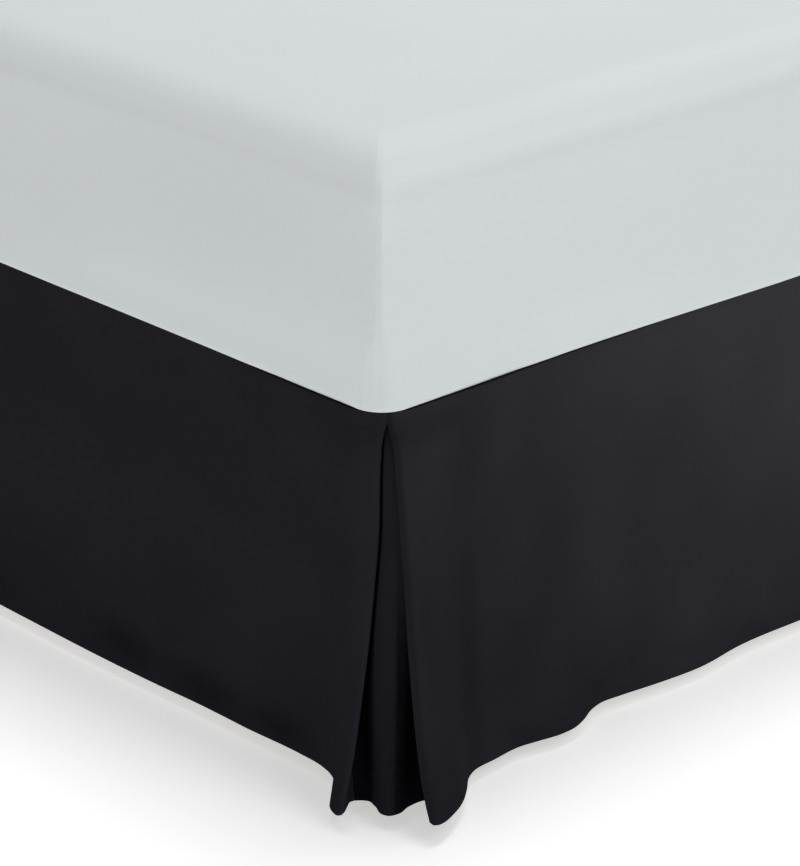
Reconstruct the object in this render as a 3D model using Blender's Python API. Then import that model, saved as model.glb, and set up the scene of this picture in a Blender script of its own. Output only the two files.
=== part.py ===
"""A tailored bed skirt hanging on three sides of a queen bed, with an inverted pleat at each foot corner.

Metres, +Z up. The origin is on the floor under the middle of the bed, the foot end faces -Y and the head
end, which the skirt leaves open, faces +Y. The bed under it is plain: legs, box spring and mattress.

Each foot corner is laid out in its own plan frame. Its zero point is where the foot drop line and the side
drop line would cross if the corner were square: x runs outward from the bed's side and y runs from the foot
towards the head, so a piece that stands out from the foot has a negative y.
"""

import math
from typing import NamedTuple

import bpy
import numpy as np

MM = 0.001

# The bed that carries the skirt.
LEG_HEIGHT = 0.190
LEG_RADIUS = 0.026
LEG_FOOT_RADIUS = 0.019
LEG_TAPER_HEIGHT = 0.120
LEG_INSET = 0.160
BOX_WIDTH = 1.511
BOX_LENGTH = 2.019
BOX_HEIGHT = 0.203
BOX_CORNER_RADIUS = 0.038
BOX_EDGE_RADIUS = 0.008
MATTRESS_WIDTH = 1.524
MATTRESS_LENGTH = 2.032
MATTRESS_HEIGHT = 0.254
MATTRESS_CORNER_RADIUS = 0.042
MATTRESS_TOP_RADIUS = 0.050
MATTRESS_BOTTOM_RADIUS = 0.008
LEAST_CORNER_RADIUS = 0.004

# The cloth and how it sits on the box spring.
CLOTH = 0.0012
SEAM_GAP = 0.0003
LAYER_GAP = 0.0009
EDGE_CLEARANCE = 0.002
DROP = 0.381
SWING_RISE = 0.25
FOLD_RADIUS = 0.0012

# Heights and plan places that follow from those sizes.
BOX_TOP = LEG_HEIGHT + BOX_HEIGHT
PLATFORM_BOTTOM = BOX_TOP + SEAM_GAP
DROP_TOP = PLATFORM_BOTTOM + CLOTH
MATTRESS_BOTTOM = DROP_TOP + SEAM_GAP
DROP_LINE_OUT = EDGE_CLEARANCE + CLOTH / 2
DROP_RADIUS = BOX_CORNER_RADIUS + DROP_LINE_OUT
CORNER_X = BOX_WIDTH / 2 + DROP_LINE_OUT
CORNER_Y = -BOX_LENGTH / 2 - DROP_LINE_OUT
HEAD_Y = BOX_LENGTH / 2

# The pleat's layers, counted outward from the drop line: the underlay hangs on it, the turned-back cloth
# lies over the underlay, and the flap that shows lies over both. Away from the pleat the flap's layer sinks
# back to the drop line, between the two distances from the corner.
RETURN_LAYER = CLOTH + LAYER_GAP
FLAP_LAYER = RETURN_LAYER + 2 * FOLD_RADIUS
LAYERED_TO = 0.110
SINGLE_FROM = 0.240

# The two flaps meet this far round the corner's arc, measured from the foot side.
MEETING_ANGLE = math.radians(53)
FOLD_HALF_THICKNESS = FOLD_RADIUS + CLOTH / 2 + SEAM_GAP
FOOT_RETURN_WIDTH = 0.060
SIDE_RETURN_WIDTH = 0.075


class HemPoint(NamedTuple):
    """A place on a flap's hem: the stretch of cloth it belongs to, its distance along the bed's side from
    the corner, and how far it stands out, in mm."""

    stretch: str
    along: float
    out: float


FOOT_FLAP = (
    HemPoint("front", 186, 2),
    HemPoint("front", 116, 0),
    HemPoint("front", 80, 2),
    HemPoint("front", 59, 8),
    HemPoint("front", 47, 15),
    HemPoint("front", 24, 39),
    HemPoint("front", 11, 53),
    HemPoint("front", -4, 61),
    HemPoint("fold", -12, 62.5),
    HemPoint("fold", -15, 59),
    HemPoint("return", -10, 54),
    HemPoint("return", -1, 43),
    HemPoint("return", 4, 34),
    HemPoint("end", 2.6, 29.6),
)

SIDE_FLAP = (
    HemPoint("front", 188, 22),
    HemPoint("front", 165, 18),
    HemPoint("front", 128, 21),
    HemPoint("front", 97, 25),
    HemPoint("front", 84, 32),
    HemPoint("front", 64, 50),
    HemPoint("front", 43, 67),
    HemPoint("front", 18, 81),
    HemPoint("front", -8, 90),
    HemPoint("fold", -14, 90),
    HemPoint("fold", -17, 87.5),
    HemPoint("return", -14, 84.5),
    HemPoint("return", -3, 76),
    HemPoint("return", 13, 62),
    HemPoint("end", 30, 50.5),
)


class UnderlayPoint(NamedTuple):
    """A place on the underlay's hem in the corner's plan frame, in mm."""

    x: float
    y: float


UNDERLAY = (
    UnderlayPoint(-1, -28),
    UnderlayPoint(1.2, -24.3),
    UnderlayPoint(6.1, -20),
    UnderlayPoint(18, -22),
    UnderlayPoint(35, -28.5),
    UnderlayPoint(41, -27),
    UnderlayPoint(44.2, -17.5),
    UnderlayPoint(40, -1),
    UnderlayPoint(40.8, 15.5),
    UnderlayPoint(47.5, 27.5),
)


class Wave(NamedTuple):
    """How far the hem of a flat run stands out at a distance along the bed from the corner, in mm."""

    along: float
    out: float


FOOT_WAVES = (
    Wave(186, 2),
    Wave(261, 3),
    Wave(320, 6),
    Wave(380, 8),
    Wave(445, 9),
    Wave(583, 7),
    Wave(700, 4),
    Wave(820, 8),
    Wave(940, 3),
    Wave(1060, 7),
    Wave(1190, 4),
    Wave(1330, 2),
)

NEAR_SIDE_WAVES = (
    Wave(188, 22),
    Wave(211, 26),
    Wave(232, 25),
    Wave(252, 18),
    Wave(272, 8),
    Wave(292, 3),
    Wave(316, 5),
    Wave(366, 11),
    Wave(421, 14),
    Wave(488, 6),
    Wave(577, 7),
    Wave(700, 12),
    Wave(830, 6),
    Wave(960, 13),
    Wave(1100, 5),
    Wave(1240, 11),
    Wave(1390, 6),
    Wave(1540, 12),
    Wave(1690, 5),
    Wave(1850, 8),
    Wave(2021, 3),
)

FAR_SIDE_WAVES = (
    Wave(188, 18),
    Wave(250, 11),
    Wave(330, 4),
    Wave(430, 10),
    Wave(540, 13),
    Wave(650, 5),
    Wave(780, 9),
    Wave(920, 14),
    Wave(1060, 6),
    Wave(1210, 4),
    Wave(1350, 10),
    Wave(1500, 12),
    Wave(1660, 5),
    Wave(1830, 9),
    Wave(2021, 4),
)


class Level(NamedTuple):
    """A height of the cloth as a share of the drop, the share of the full swing that the creases of the
    foot flap and of the side flap have reached there, and how closely the underlay follows the flaps."""

    down: float
    foot_crease: float
    side_crease: float
    follow: float


LEVELS = (
    Level(0.00, 0.00, 0.00, 0.00),
    Level(0.03, 0.03, 0.05, 0.50),
    Level(0.07, 0.10, 0.15, 0.85),
    Level(0.15, 0.14, 0.20, 0.95),
    Level(0.28, 0.16, 0.29, 0.95),
    Level(0.43, 0.26, 0.40, 0.88),
    Level(0.58, 0.39, 0.49, 0.72),
    Level(0.73, 0.56, 0.61, 0.40),
    Level(0.88, 0.76, 0.77, 0.12),
    Level(1.00, 1.00, 1.00, 0.00),
)
DOWN = np.array([level.down for level in LEVELS])
FOOT_SWING = np.array([level.foot_crease for level in LEVELS])
SIDE_SWING = np.array([level.side_crease for level in LEVELS])
FOLLOW = np.array([level.follow for level in LEVELS])
FLAT_SWING = DOWN**2.5
SEAM_SWING = DOWN**2.0
RIDGE_SWING = DOWN**1.9

# A flap's front swings with its crease up to the first distance from it, and with the flat run past the
# second. Its return goes over to the seam's swing between the two shares of its own width.
CREASE_REACH = (0.060, 0.150)
RETURN_REACH = (0.15, 1.0)
SEAM_REACH = (0.25, 0.0)

# Where the underlay follows the flaps it lies this far behind their turned-back cloth, more further down,
# and it takes their corners softly: the line is drawn in this many steps and evened out this many times.
FOLLOW_GAP = (RETURN_LAYER, 0.0035)
FOLLOW_FULL_GAP_AT = 0.30
FOLLOW_STEPS = 60
FOLLOW_PASSES = 5
FOLLOW_FROM_SEAM = (0.04, 0.22)

# The corner that faces -X hangs a little closer than the one that faces +X.
SWING_SCALE = {1: 1.0, -1: 0.86}

# How finely the shapes are divided. The columns of a flap's front crowd towards its crease.
COLUMNS = {"front": 15, "fold": 4, "return": 8}
UNDERLAY_COLUMNS = 26
FRONT_CROWDING = 1.35
CORNER_STEPS = 6
MATTRESS_EDGE_STEPS = 5
BOX_EDGE_STEPS = 2
LEG_SIDES = 20
SHARP_ANGLE = math.radians(40)


class Finish(NamedTuple):
    """What a material is made of: its name, linear colour, roughness and sheen."""

    name: str
    colour: tuple
    roughness: float
    sheen: float = 0.0


FOOT_CLOTH = Finish("black microfibre, foot", (0.026, 0.026, 0.030), 0.85, 0.3)
RIGHT_CLOTH = Finish("black microfibre, right side", (0.026, 0.026, 0.030), 0.85, 0.3)
LEFT_CLOTH = Finish("black microfibre, left side", (0.026, 0.026, 0.030), 0.85, 0.3)
RIGHT_PLEAT_CLOTH = Finish("black microfibre, right pleat", (0.020, 0.020, 0.024), 0.9, 0.2)
LEFT_PLEAT_CLOTH = Finish("black microfibre, left pleat", (0.020, 0.020, 0.024), 0.9, 0.2)
DECKING = Finish("white decking cloth", (0.72, 0.72, 0.70), 0.8)
MATTRESS_COVER = Finish("pale mattress cover", (0.62, 0.67, 0.67), 0.8)
TICKING = Finish("box spring ticking", (0.60, 0.58, 0.54), 0.85)
BEECH = Finish("satin beech", (0.36, 0.21, 0.11), 0.5)


class Column(NamedTuple):
    """One line down the cloth: its plan place at the top and at the hem, its swing at each level, and what
    is added to its plan place there."""

    top: np.ndarray
    hem: np.ndarray
    swing: np.ndarray
    shift: np.ndarray = np.zeros((1, 2))

    def plan(self):
        """The column's plan place at each level."""
        return self.top + (self.hem - self.top) * self.swing[:, None] + self.shift


def smoothstep(value, start, end):
    """Rise from 0 at start to 1 at end with level tangents, also where end is below start."""
    share = min(1.0, max(0.0, (value - start) / (end - start)))
    return share * share * (3 - 2 * share)


class SmoothLine:
    """A smooth plan curve through a few points, read by its length along the chords."""

    def __init__(self, points):
        self.points = np.array(points, dtype=float)
        steps = np.linalg.norm(np.diff(self.points, axis=0), axis=1)
        self.places = np.concatenate([[0.0], np.cumsum(steps)])
        self.slopes = np.gradient(self.points, self.places, axis=0)

    def at(self, place):
        """The point at a length along the line, by a cubic between its two neighbours."""
        last = len(self.places) - 2
        index = int(np.clip(np.searchsorted(self.places, place, side="right") - 1, 0, last))
        span = self.places[index + 1] - self.places[index]
        share = (place - self.places[index]) / span
        start, end = self.points[index], self.points[index + 1]
        leave, arrive = self.slopes[index] * span, self.slopes[index + 1] * span
        square, cube = share**2, share**3
        return (
            (2 * cube - 3 * square + 1) * start
            + (cube - 2 * square + share) * leave
            + (3 * square - 2 * cube) * end
            + (cube - square) * arrive
        )


def along_side(distance, layer):
    """The plan place (along, out) on a layer, measured from where a side's straight run meets the arc.

    A positive distance lies on the straight run and a negative one on the corner's arc.
    """
    if distance >= 0:
        return np.array([DROP_RADIUS + distance, layer])
    radius = DROP_RADIUS + layer
    angle = -distance / radius
    return np.array([DROP_RADIUS - radius * math.sin(angle), radius * math.cos(angle) - DROP_RADIUS])


class Flap:
    """One end of a panel at the pleat: the front, the fold at its crease and the turned-back return."""

    def __init__(self, rows, crease_angle, return_width, crease_swing, scale):
        self.rows = rows
        self.angle = crease_angle
        self.return_width = return_width
        self.crease_swing = crease_swing
        self.scale = scale
        self.line = SmoothLine([(row.along * MM, row.out * MM) for row in rows])
        names = [row.stretch for row in rows]
        starts = [names.index(name) for name in ("front", "fold", "return", "end")]
        self.starts = dict(zip(("front", "fold", "return", "end"), self.line.places[starts]))

    def front_top(self, distance):
        """The flap's top, at a distance from its crease, sinking to a single layer away from the pleat."""
        arc = (DROP_RADIUS + FLAP_LAYER) * self.angle - FOLD_HALF_THICKNESS
        place = along_side(distance - arc, FLAP_LAYER)
        if distance > arc:
            place[1] = FLAP_LAYER * smoothstep(place[0], SINGLE_FROM, LAYERED_TO)
        return place

    def return_top(self, distance):
        arc = (DROP_RADIUS + RETURN_LAYER) * self.angle - FOLD_HALF_THICKNESS
        return along_side(distance - arc, RETURN_LAYER)

    def fold_top(self, share):
        """The half turn at the crease, from the front layer to the return layer."""
        before, after = self.front_top(0.0), self.return_top(0.0)
        middle, arm = (before + after) / 2, (before - after) / 2
        forward = np.array([-arm[1], arm[0]])
        turn = math.pi * share
        return middle + math.cos(turn) * arm + math.sin(turn) * forward

    def front_length(self):
        """The top's length from the crease to where the flat run begins."""
        straight = self.rows[0].along * MM - DROP_RADIUS
        return (DROP_RADIUS + FLAP_LAYER) * self.angle - FOLD_HALF_THICKNESS + straight

    def hem(self, stretch, following, share):
        start, end = self.starts[stretch], self.starts[following]
        return self.line.at(start + (end - start) * share)

    def column(self, top, hem, swing):
        return Column(top, top + (hem - top) * self.scale, swing)

    def columns(self):
        """Columns from the flat run to the seam inside the pleat, in the side's (along, out) frame."""
        found = []
        for index in range(COLUMNS["front"]):
            share = 1 - (1 - index / COLUMNS["front"]) ** FRONT_CROWDING
            distance = self.front_length() * (1 - share)
            near = smoothstep(distance, CREASE_REACH[1], CREASE_REACH[0])
            swing = near * self.crease_swing + (1 - near) * FLAT_SWING
            found.append(self.column(self.front_top(distance), self.hem("front", "fold", share), swing))
        for index in range(COLUMNS["fold"]):
            share = index / COLUMNS["fold"]
            hem = self.hem("fold", "return", share)
            found.append(self.column(self.fold_top(share), hem, self.crease_swing))
        for index in range(COLUMNS["return"] + 1):
            share = index / COLUMNS["return"]
            distance = self.return_width * share
            inner = smoothstep(share, *RETURN_REACH)
            swing = inner * SEAM_SWING + (1 - inner) * self.crease_swing
            hem = self.hem("return", "end", share)
            found.append(self.column(self.return_top(distance), hem, swing))
        return found


def foot_flap(side):
    return Flap(FOOT_FLAP, MEETING_ANGLE, FOOT_RETURN_WIDTH, FOOT_SWING, SWING_SCALE[side])


def side_flap(side):
    return Flap(SIDE_FLAP, math.pi / 2 - MEETING_ANGLE, SIDE_RETURN_WIDTH, SIDE_SWING, SWING_SCALE[side])


def from_foot(column, side):
    """Turn a column's (along, out) places on the foot into world plan places."""
    def world(place):
        return np.array([side * (CORNER_X - place[0]), CORNER_Y - place[1]])
    return Column(world(column.top), world(column.hem), column.swing)


def from_side(column, side):
    """Turn a column's (along, out) places on a long side into world plan places."""
    def world(place):
        return np.array([side * (CORNER_X + place[1]), CORNER_Y + place[0]])
    return Column(world(column.top), world(column.hem), column.swing)


def flat_columns(waves, scale_start, scale_end):
    """Columns of a flat run, at each wave but the first and midway between each two."""
    line = SmoothLine([(wave.along * MM, wave.out * MM) for wave in waves])
    halves = np.arange(1, 2 * len(waves) - 1) / 2
    found = []
    for place in np.interp(halves, np.arange(len(waves)), line.places):
        along, out = line.at(place)
        share = place / line.places[-1]
        out *= scale_start + (scale_end - scale_start) * share
        layer = FLAP_LAYER * smoothstep(along, SINGLE_FROM, LAYERED_TO)
        found.append(Column(np.array([along, layer]), np.array([along, out]), FLAT_SWING))
    return found


def foot_panel():
    """The foot panel from the seam inside one pleat to the seam inside the other."""
    near = [from_foot(column, 1) for column in foot_flap(1).columns()]
    far = [from_foot(column, -1) for column in foot_flap(-1).columns()]
    run = flat_columns(FOOT_WAVES, SWING_SCALE[1], SWING_SCALE[-1])[:-1]
    middle = [from_foot(column, 1) for column in run]
    return near[::-1] + middle + far


def side_panel(side, waves):
    """A long side's panel from the seam inside its pleat to the head end of the bed."""
    flap = [from_side(column, side) for column in side_flap(side).columns()]
    run = flat_columns(waves, SWING_SCALE[side], 1.0)
    return flap[::-1] + [from_side(column, side) for column in run]


def spread(line, shares):
    """The places at these shares of a plan line's length."""
    steps = np.linalg.norm(np.diff(line, axis=0), axis=1)
    lengths = np.concatenate([[0.0], np.cumsum(steps)])
    return np.column_stack([np.interp(shares * lengths[-1], lengths, line[:, axis]) for axis in (0, 1)])


def behind_flaps(side, shares):
    """At each level, places just behind the two turned-back cloths and straight across between them."""
    foot = [from_foot(column, side) for column in foot_flap(side).columns()]
    along = [from_side(column, side) for column in side_flap(side).columns()]
    count = COLUMNS["return"] + 1
    layers = np.stack([column.plan() for column in foot[: -count - 1 : -1] + along[-count:]], axis=1)
    found = []
    for down, layer in zip(DOWN, layers):
        line = spread(layer, np.linspace(0.0, 1.0, FOLLOW_STEPS + 1))
        for _ in range(FOLLOW_PASSES):
            line[1:-1] = (line[:-2] + 2 * line[1:-1] + line[2:]) / 4
        heading = np.gradient(line, axis=0)
        heading /= np.linalg.norm(heading, axis=1, keepdims=True)
        inward = side * np.column_stack([-heading[:, 1], heading[:, 0]])
        gap = np.interp(down, (0.0, FOLLOW_FULL_GAP_AT), FOLLOW_GAP)
        found.append(spread(line + gap * inward, shares))
    return np.stack(found, axis=1)


def underlay(side):
    """The piece behind the two flaps of one corner, from the foot seam to the side seam."""
    foot_end = foot_flap(side).columns()[-1]
    side_end = side_flap(side).columns()[-1]
    foot_straight = foot_end.top[0] - DROP_RADIUS
    side_straight = side_end.top[0] - DROP_RADIUS
    arc = DROP_RADIUS * math.pi / 2
    length = foot_straight + arc + side_straight
    line = SmoothLine([(point.x * MM, point.y * MM) for point in UNDERLAY])
    shares = np.arange(UNDERLAY_COLUMNS + 1) / UNDERLAY_COLUMNS
    found = []
    for share, behind in zip(shares, behind_flaps(side, shares)):
        distance = length * share
        if distance < foot_straight + arc / 2:
            along, out = along_side(foot_straight - distance, 0.0)
            top = np.array([-along, -out])
        else:
            along, out = along_side(distance - foot_straight - arc, 0.0)
            top = np.array([out, along])
        hem = line.at(line.places[-1] * share)
        at_seam = smoothstep(min(share, 1 - share), *SEAM_REACH)
        swing = at_seam * SEAM_SWING + (1 - at_seam) * RIDGE_SWING
        hem = top + (hem - top) * SWING_SCALE[side]
        place = [np.array([side * (CORNER_X + x), CORNER_Y + y]) for x, y in (top, hem)]
        free = Column(place[0], place[1], swing)
        follow = FOLLOW[:, None] * smoothstep(min(share, 1 - share), *FOLLOW_FROM_SEAM)
        found.append(free._replace(shift=follow * (behind - free.plan())))
    return found


def principled(finish):
    material = bpy.data.materials.new(finish.name)
    material.use_nodes = True
    shader = material.node_tree.nodes["Principled BSDF"]
    shader.inputs["Base Color"].default_value = (*finish.colour, 1.0)
    shader.inputs["Roughness"].default_value = finish.roughness
    shader.inputs["Metallic"].default_value = 0.0
    shader.inputs["Sheen Weight"].default_value = finish.sheen
    material.diffuse_color = (*finish.colour, 1.0)
    return material


def add_object(name, verts, faces, material, parent):
    """A smooth-shaded object made of these faces, under its parent, with its edges kept crisp."""
    mesh = bpy.data.meshes.new(name)
    mesh.from_pydata(verts, [], faces)
    mesh.shade_smooth()
    mesh.set_sharp_from_angle(angle=SHARP_ANGLE)
    mesh.materials.append(material)
    obj = bpy.data.objects.new(name, mesh)
    bpy.context.scene.collection.objects.link(obj)
    obj.parent = parent
    return obj


def stacked_rings(rings):
    """Vertices and faces of closed outlines, one above the other, with a flat face below and on top."""
    count = len(rings[0])
    verts = [point for ring in rings for point in ring]
    faces = [tuple(reversed(range(count)))]
    for low in range(0, (len(rings) - 1) * count, count):
        for index in range(count):
            following = (index + 1) % count
            high = low + count
            faces.append((low + index, low + following, high + following, high + index))
    faces.append(tuple(range((len(rings) - 1) * count, len(rings) * count)))
    return verts, faces


def hang_cloth(name, columns, material, parent):
    """Loft the columns into a surface and give it the cloth's thickness, half on each side."""
    verts = []
    for column in columns:
        swing = column.hem - column.top
        fall = DROP - SWING_RISE * float(swing @ swing) / DROP
        for down, (x, y) in zip(DOWN, column.plan()):
            verts.append((x, y, DROP_TOP - fall * down))
    rows = len(DOWN)
    faces = []
    for column in range(len(columns) - 1):
        for row in range(rows - 1):
            corner = column * rows + row
            faces.append((corner, corner + 1, corner + rows + 1, corner + rows))
    obj = add_object(name, verts, faces, material, parent)
    solid = obj.modifiers.new("Thickness", "SOLIDIFY")
    solid.thickness = CLOTH
    solid.offset = 0.0
    solid.use_even_offset = True
    return obj


def rounded_outline(width, length, radius):
    """A rectangle with rounded corners, as plan points turning anticlockwise."""
    points = []
    for quarter, (sx, sy) in enumerate(((1, 1), (-1, 1), (-1, -1), (1, -1))):
        for step in range(CORNER_STEPS + 1):
            angle = math.pi / 2 * (quarter + step / CORNER_STEPS)
            x = sx * (width / 2 - radius) + radius * math.cos(angle)
            y = sy * (length / 2 - radius) + radius * math.sin(angle)
            points.append((x, y))
    return points


def edge_profile(height, bottom_radius, top_radius, steps):
    """(inset, height) pairs up the side of a block whose bottom and top edges are rounded."""
    turns = [math.pi / 2 * step / steps for step in range(steps + 1)]
    bottom = [(bottom_radius * (1 - math.sin(a)), bottom_radius * (1 - math.cos(a))) for a in turns]
    top = [(top_radius * (1 - math.cos(a)), height - top_radius * (1 - math.sin(a))) for a in turns]
    return bottom + top


def rounded_block(name, width, length, corner_radius, profile, bottom, material, parent):
    """A block with rounded corners, whose plan outline draws in as its profile says."""
    rings = []
    for inset, height in profile:
        radius = max(corner_radius - inset, LEAST_CORNER_RADIUS)
        outline = rounded_outline(width - 2 * inset, length - 2 * inset, radius)
        rings.append([(x, y, height) for x, y in outline])
    obj = add_object(name, *stacked_rings(rings), material, parent)
    obj.location.z = bottom
    return obj


def leg(name, x, y, material, parent):
    """A turned leg, narrower at its foot, standing flat on the floor under the box spring."""
    turns = [2 * math.pi * side / LEG_SIDES for side in range(LEG_SIDES)]
    profile = (
        (LEG_FOOT_RADIUS, 0.0),
        (LEG_RADIUS, LEG_TAPER_HEIGHT),
        (LEG_RADIUS, LEG_HEIGHT - SEAM_GAP),
    )
    rings = [[(r * math.cos(a), r * math.sin(a), height) for a in turns] for r, height in profile]
    obj = add_object(name, *stacked_rings(rings), material, parent)
    obj.location = (x, y, 0.0)
    return obj


def make_skirt(parent):
    """The skirt's five hanging pieces and the decking that they are sewn to."""
    hang_cloth("foot_panel", foot_panel(), principled(FOOT_CLOTH), parent)
    hang_cloth("side_panel_right", side_panel(1, NEAR_SIDE_WAVES), principled(RIGHT_CLOTH), parent)
    hang_cloth("side_panel_left", side_panel(-1, FAR_SIDE_WAVES), principled(LEFT_CLOTH), parent)
    hang_cloth("pleat_underlay_right", underlay(1), principled(RIGHT_PLEAT_CLOTH), parent)
    hang_cloth("pleat_underlay_left", underlay(-1), principled(LEFT_PLEAT_CLOTH), parent)
    overhang = EDGE_CLEARANCE - SEAM_GAP
    rounded_block(
        "skirt_platform",
        BOX_WIDTH + 2 * overhang,
        BOX_LENGTH + 2 * overhang,
        BOX_CORNER_RADIUS + overhang,
        [(0.0, 0.0), (0.0, CLOTH)],
        PLATFORM_BOTTOM,
        principled(DECKING),
        parent,
    )


def make_bed(parent):
    """The plain bed that carries the skirt."""
    rounded_block(
        "mattress",
        MATTRESS_WIDTH,
        MATTRESS_LENGTH,
        MATTRESS_CORNER_RADIUS,
        edge_profile(MATTRESS_HEIGHT, MATTRESS_BOTTOM_RADIUS, MATTRESS_TOP_RADIUS, MATTRESS_EDGE_STEPS),
        MATTRESS_BOTTOM,
        principled(MATTRESS_COVER),
        parent,
    )
    rounded_block(
        "box_spring",
        BOX_WIDTH,
        BOX_LENGTH,
        BOX_CORNER_RADIUS,
        edge_profile(BOX_HEIGHT, BOX_EDGE_RADIUS, BOX_EDGE_RADIUS, BOX_EDGE_STEPS),
        LEG_HEIGHT,
        principled(TICKING),
        parent,
    )
    beech = principled(BEECH)
    leg_x = BOX_WIDTH / 2 - LEG_INSET
    leg_y = BOX_LENGTH / 2 - LEG_INSET
    leg("leg_centre", 0.0, 0.0, beech, parent)
    leg("leg_foot_right", leg_x, -leg_y, beech, parent)
    leg("leg_foot_left", -leg_x, -leg_y, beech, parent)
    leg("leg_head_right", leg_x, leg_y, beech, parent)
    leg("leg_head_left", -leg_x, leg_y, beech, parent)


def main():
    for obj in list(bpy.data.objects):
        bpy.data.objects.remove(obj, do_unlink=True)
    for name, make in (("bed", make_bed), ("bed_skirt", make_skirt)):
        group = bpy.data.objects.new(name, None)
        bpy.context.scene.collection.objects.link(group)
        make(group)


main()
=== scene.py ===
"""Dresses a tailored bed skirt and the plain bed that carries it.

Metres, +Z up. The origin is on the floor under the middle of the bed. The foot end faces -Y and the head
end, which the skirt leaves open, faces +Y. The skirt's sheets are lofted from the same short tables as
their solids, with finer rows and columns, a turned hem and a little unevenness.
"""

import logging
import math
from dataclasses import dataclass, field
from enum import Enum
from typing import Callable, NamedTuple

import bmesh
import bpy
import numpy as np
from mathutils import Matrix, Vector


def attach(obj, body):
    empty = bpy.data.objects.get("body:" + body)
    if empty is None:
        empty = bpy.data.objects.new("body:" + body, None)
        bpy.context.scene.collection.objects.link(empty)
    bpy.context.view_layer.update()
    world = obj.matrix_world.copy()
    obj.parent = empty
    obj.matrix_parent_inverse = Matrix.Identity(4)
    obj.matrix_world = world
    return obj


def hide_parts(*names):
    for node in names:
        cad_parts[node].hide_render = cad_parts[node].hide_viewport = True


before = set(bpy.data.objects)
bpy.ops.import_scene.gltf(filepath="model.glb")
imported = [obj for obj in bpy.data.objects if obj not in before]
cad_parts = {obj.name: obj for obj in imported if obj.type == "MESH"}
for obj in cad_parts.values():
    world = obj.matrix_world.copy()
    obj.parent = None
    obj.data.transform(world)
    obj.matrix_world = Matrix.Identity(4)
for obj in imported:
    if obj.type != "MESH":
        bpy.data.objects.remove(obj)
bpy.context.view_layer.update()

LOG = logging.getLogger("bed_skirt")
MM = 0.001
# A direction counts as upright from this share of its length on.
NEARLY = 0.9
BED_WIDTH = 1.511
BED_LENGTH = 2.019
BED_CORNER_RADIUS = 0.038
DECKING_OVERHANG = 0.0017
HEM_HEIGHT = 0.025
CLOTH_MAP = "cloth"
HEM_GROUP = "hem"
FIBRE_SCALE = 700.0
CLOUD_SCALE = 5.0

Colour = tuple[float, float, float]
Point = tuple[float, float, float]
Range = tuple[float, float]
Numbers = np.ndarray | float
# Plan places in mm. On a side of the bed they are along it from the corner and out from it.
Places = tuple[tuple[float, float], ...]


class Mark(Enum):
    """The numbers that a piece stores on its points for its material to read."""

    PRESSED = "pressed"
    # Painted light where above 0 and painted shade where below 0.
    LIFTED = "lifted"
    TURNED = "turned"


# ---------------------------------------------------------------------------------------------------------
# Shader maths and finishes
# ---------------------------------------------------------------------------------------------------------


class Field:
    """A number that varies over a surface: a socket whose operators add Math nodes."""

    def __init__(self, recipe: "Recipe", socket: bpy.types.NodeSocket) -> None:
        """Keep the socket and the recipe that its sums are added to."""
        self.recipe = recipe
        self.socket = socket

    def __add__(self, other: "Field | float") -> "Field":
        """Self plus other."""
        return self.recipe.maths("ADD", self, other)

    def __radd__(self, other: float) -> "Field":
        """Other plus self."""
        return self.recipe.maths("ADD", other, self)

    def __sub__(self, other: "Field | float") -> "Field":
        """Self less other."""
        return self.recipe.maths("SUBTRACT", self, other)

    def __rsub__(self, other: float) -> "Field":
        """Other less self."""
        return self.recipe.maths("SUBTRACT", other, self)

    def __mul__(self, other: "Field | float") -> "Field":
        """Self times other."""
        return self.recipe.maths("MULTIPLY", self, other)

    def __rmul__(self, other: float) -> "Field":
        """Other times self."""
        return self.recipe.maths("MULTIPLY", other, self)

    def __abs__(self) -> "Field":
        """Self without its sign."""
        return self.recipe.maths("ABSOLUTE", self)

    def sine(self) -> "Field":
        """The sine of self, in radians."""
        return self.recipe.maths("SINE", self)

    def wave(self, pitch: float) -> "Field":
        """A smooth wave from 0 to 1 that repeats every pitch metres along self."""
        return 0.5 + 0.5 * (self * (2 * math.pi / pitch)).sine()

    def rise(self, start: float, end: float) -> "Field":
        """A smooth step from 0 at start to 1 at end, also where end is the smaller.

        Args:
            start: The value at which the step is still 0.
            end: The value at which it has reached 1.

        Returns:
            The step as a field between 0 and 1.
        """
        settings = {"interpolation_type": "SMOOTHSTEP"}
        low, high = (start, end) if start < end else (end, start)
        values = {"Value": self, "From Min": low, "From Max": high}
        if start > end:
            values |= {"To Min": 1.0, "To Max": 0.0}
        return Field(self.recipe, self.recipe.node("ShaderNodeMapRange", settings, values).outputs[0])


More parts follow.
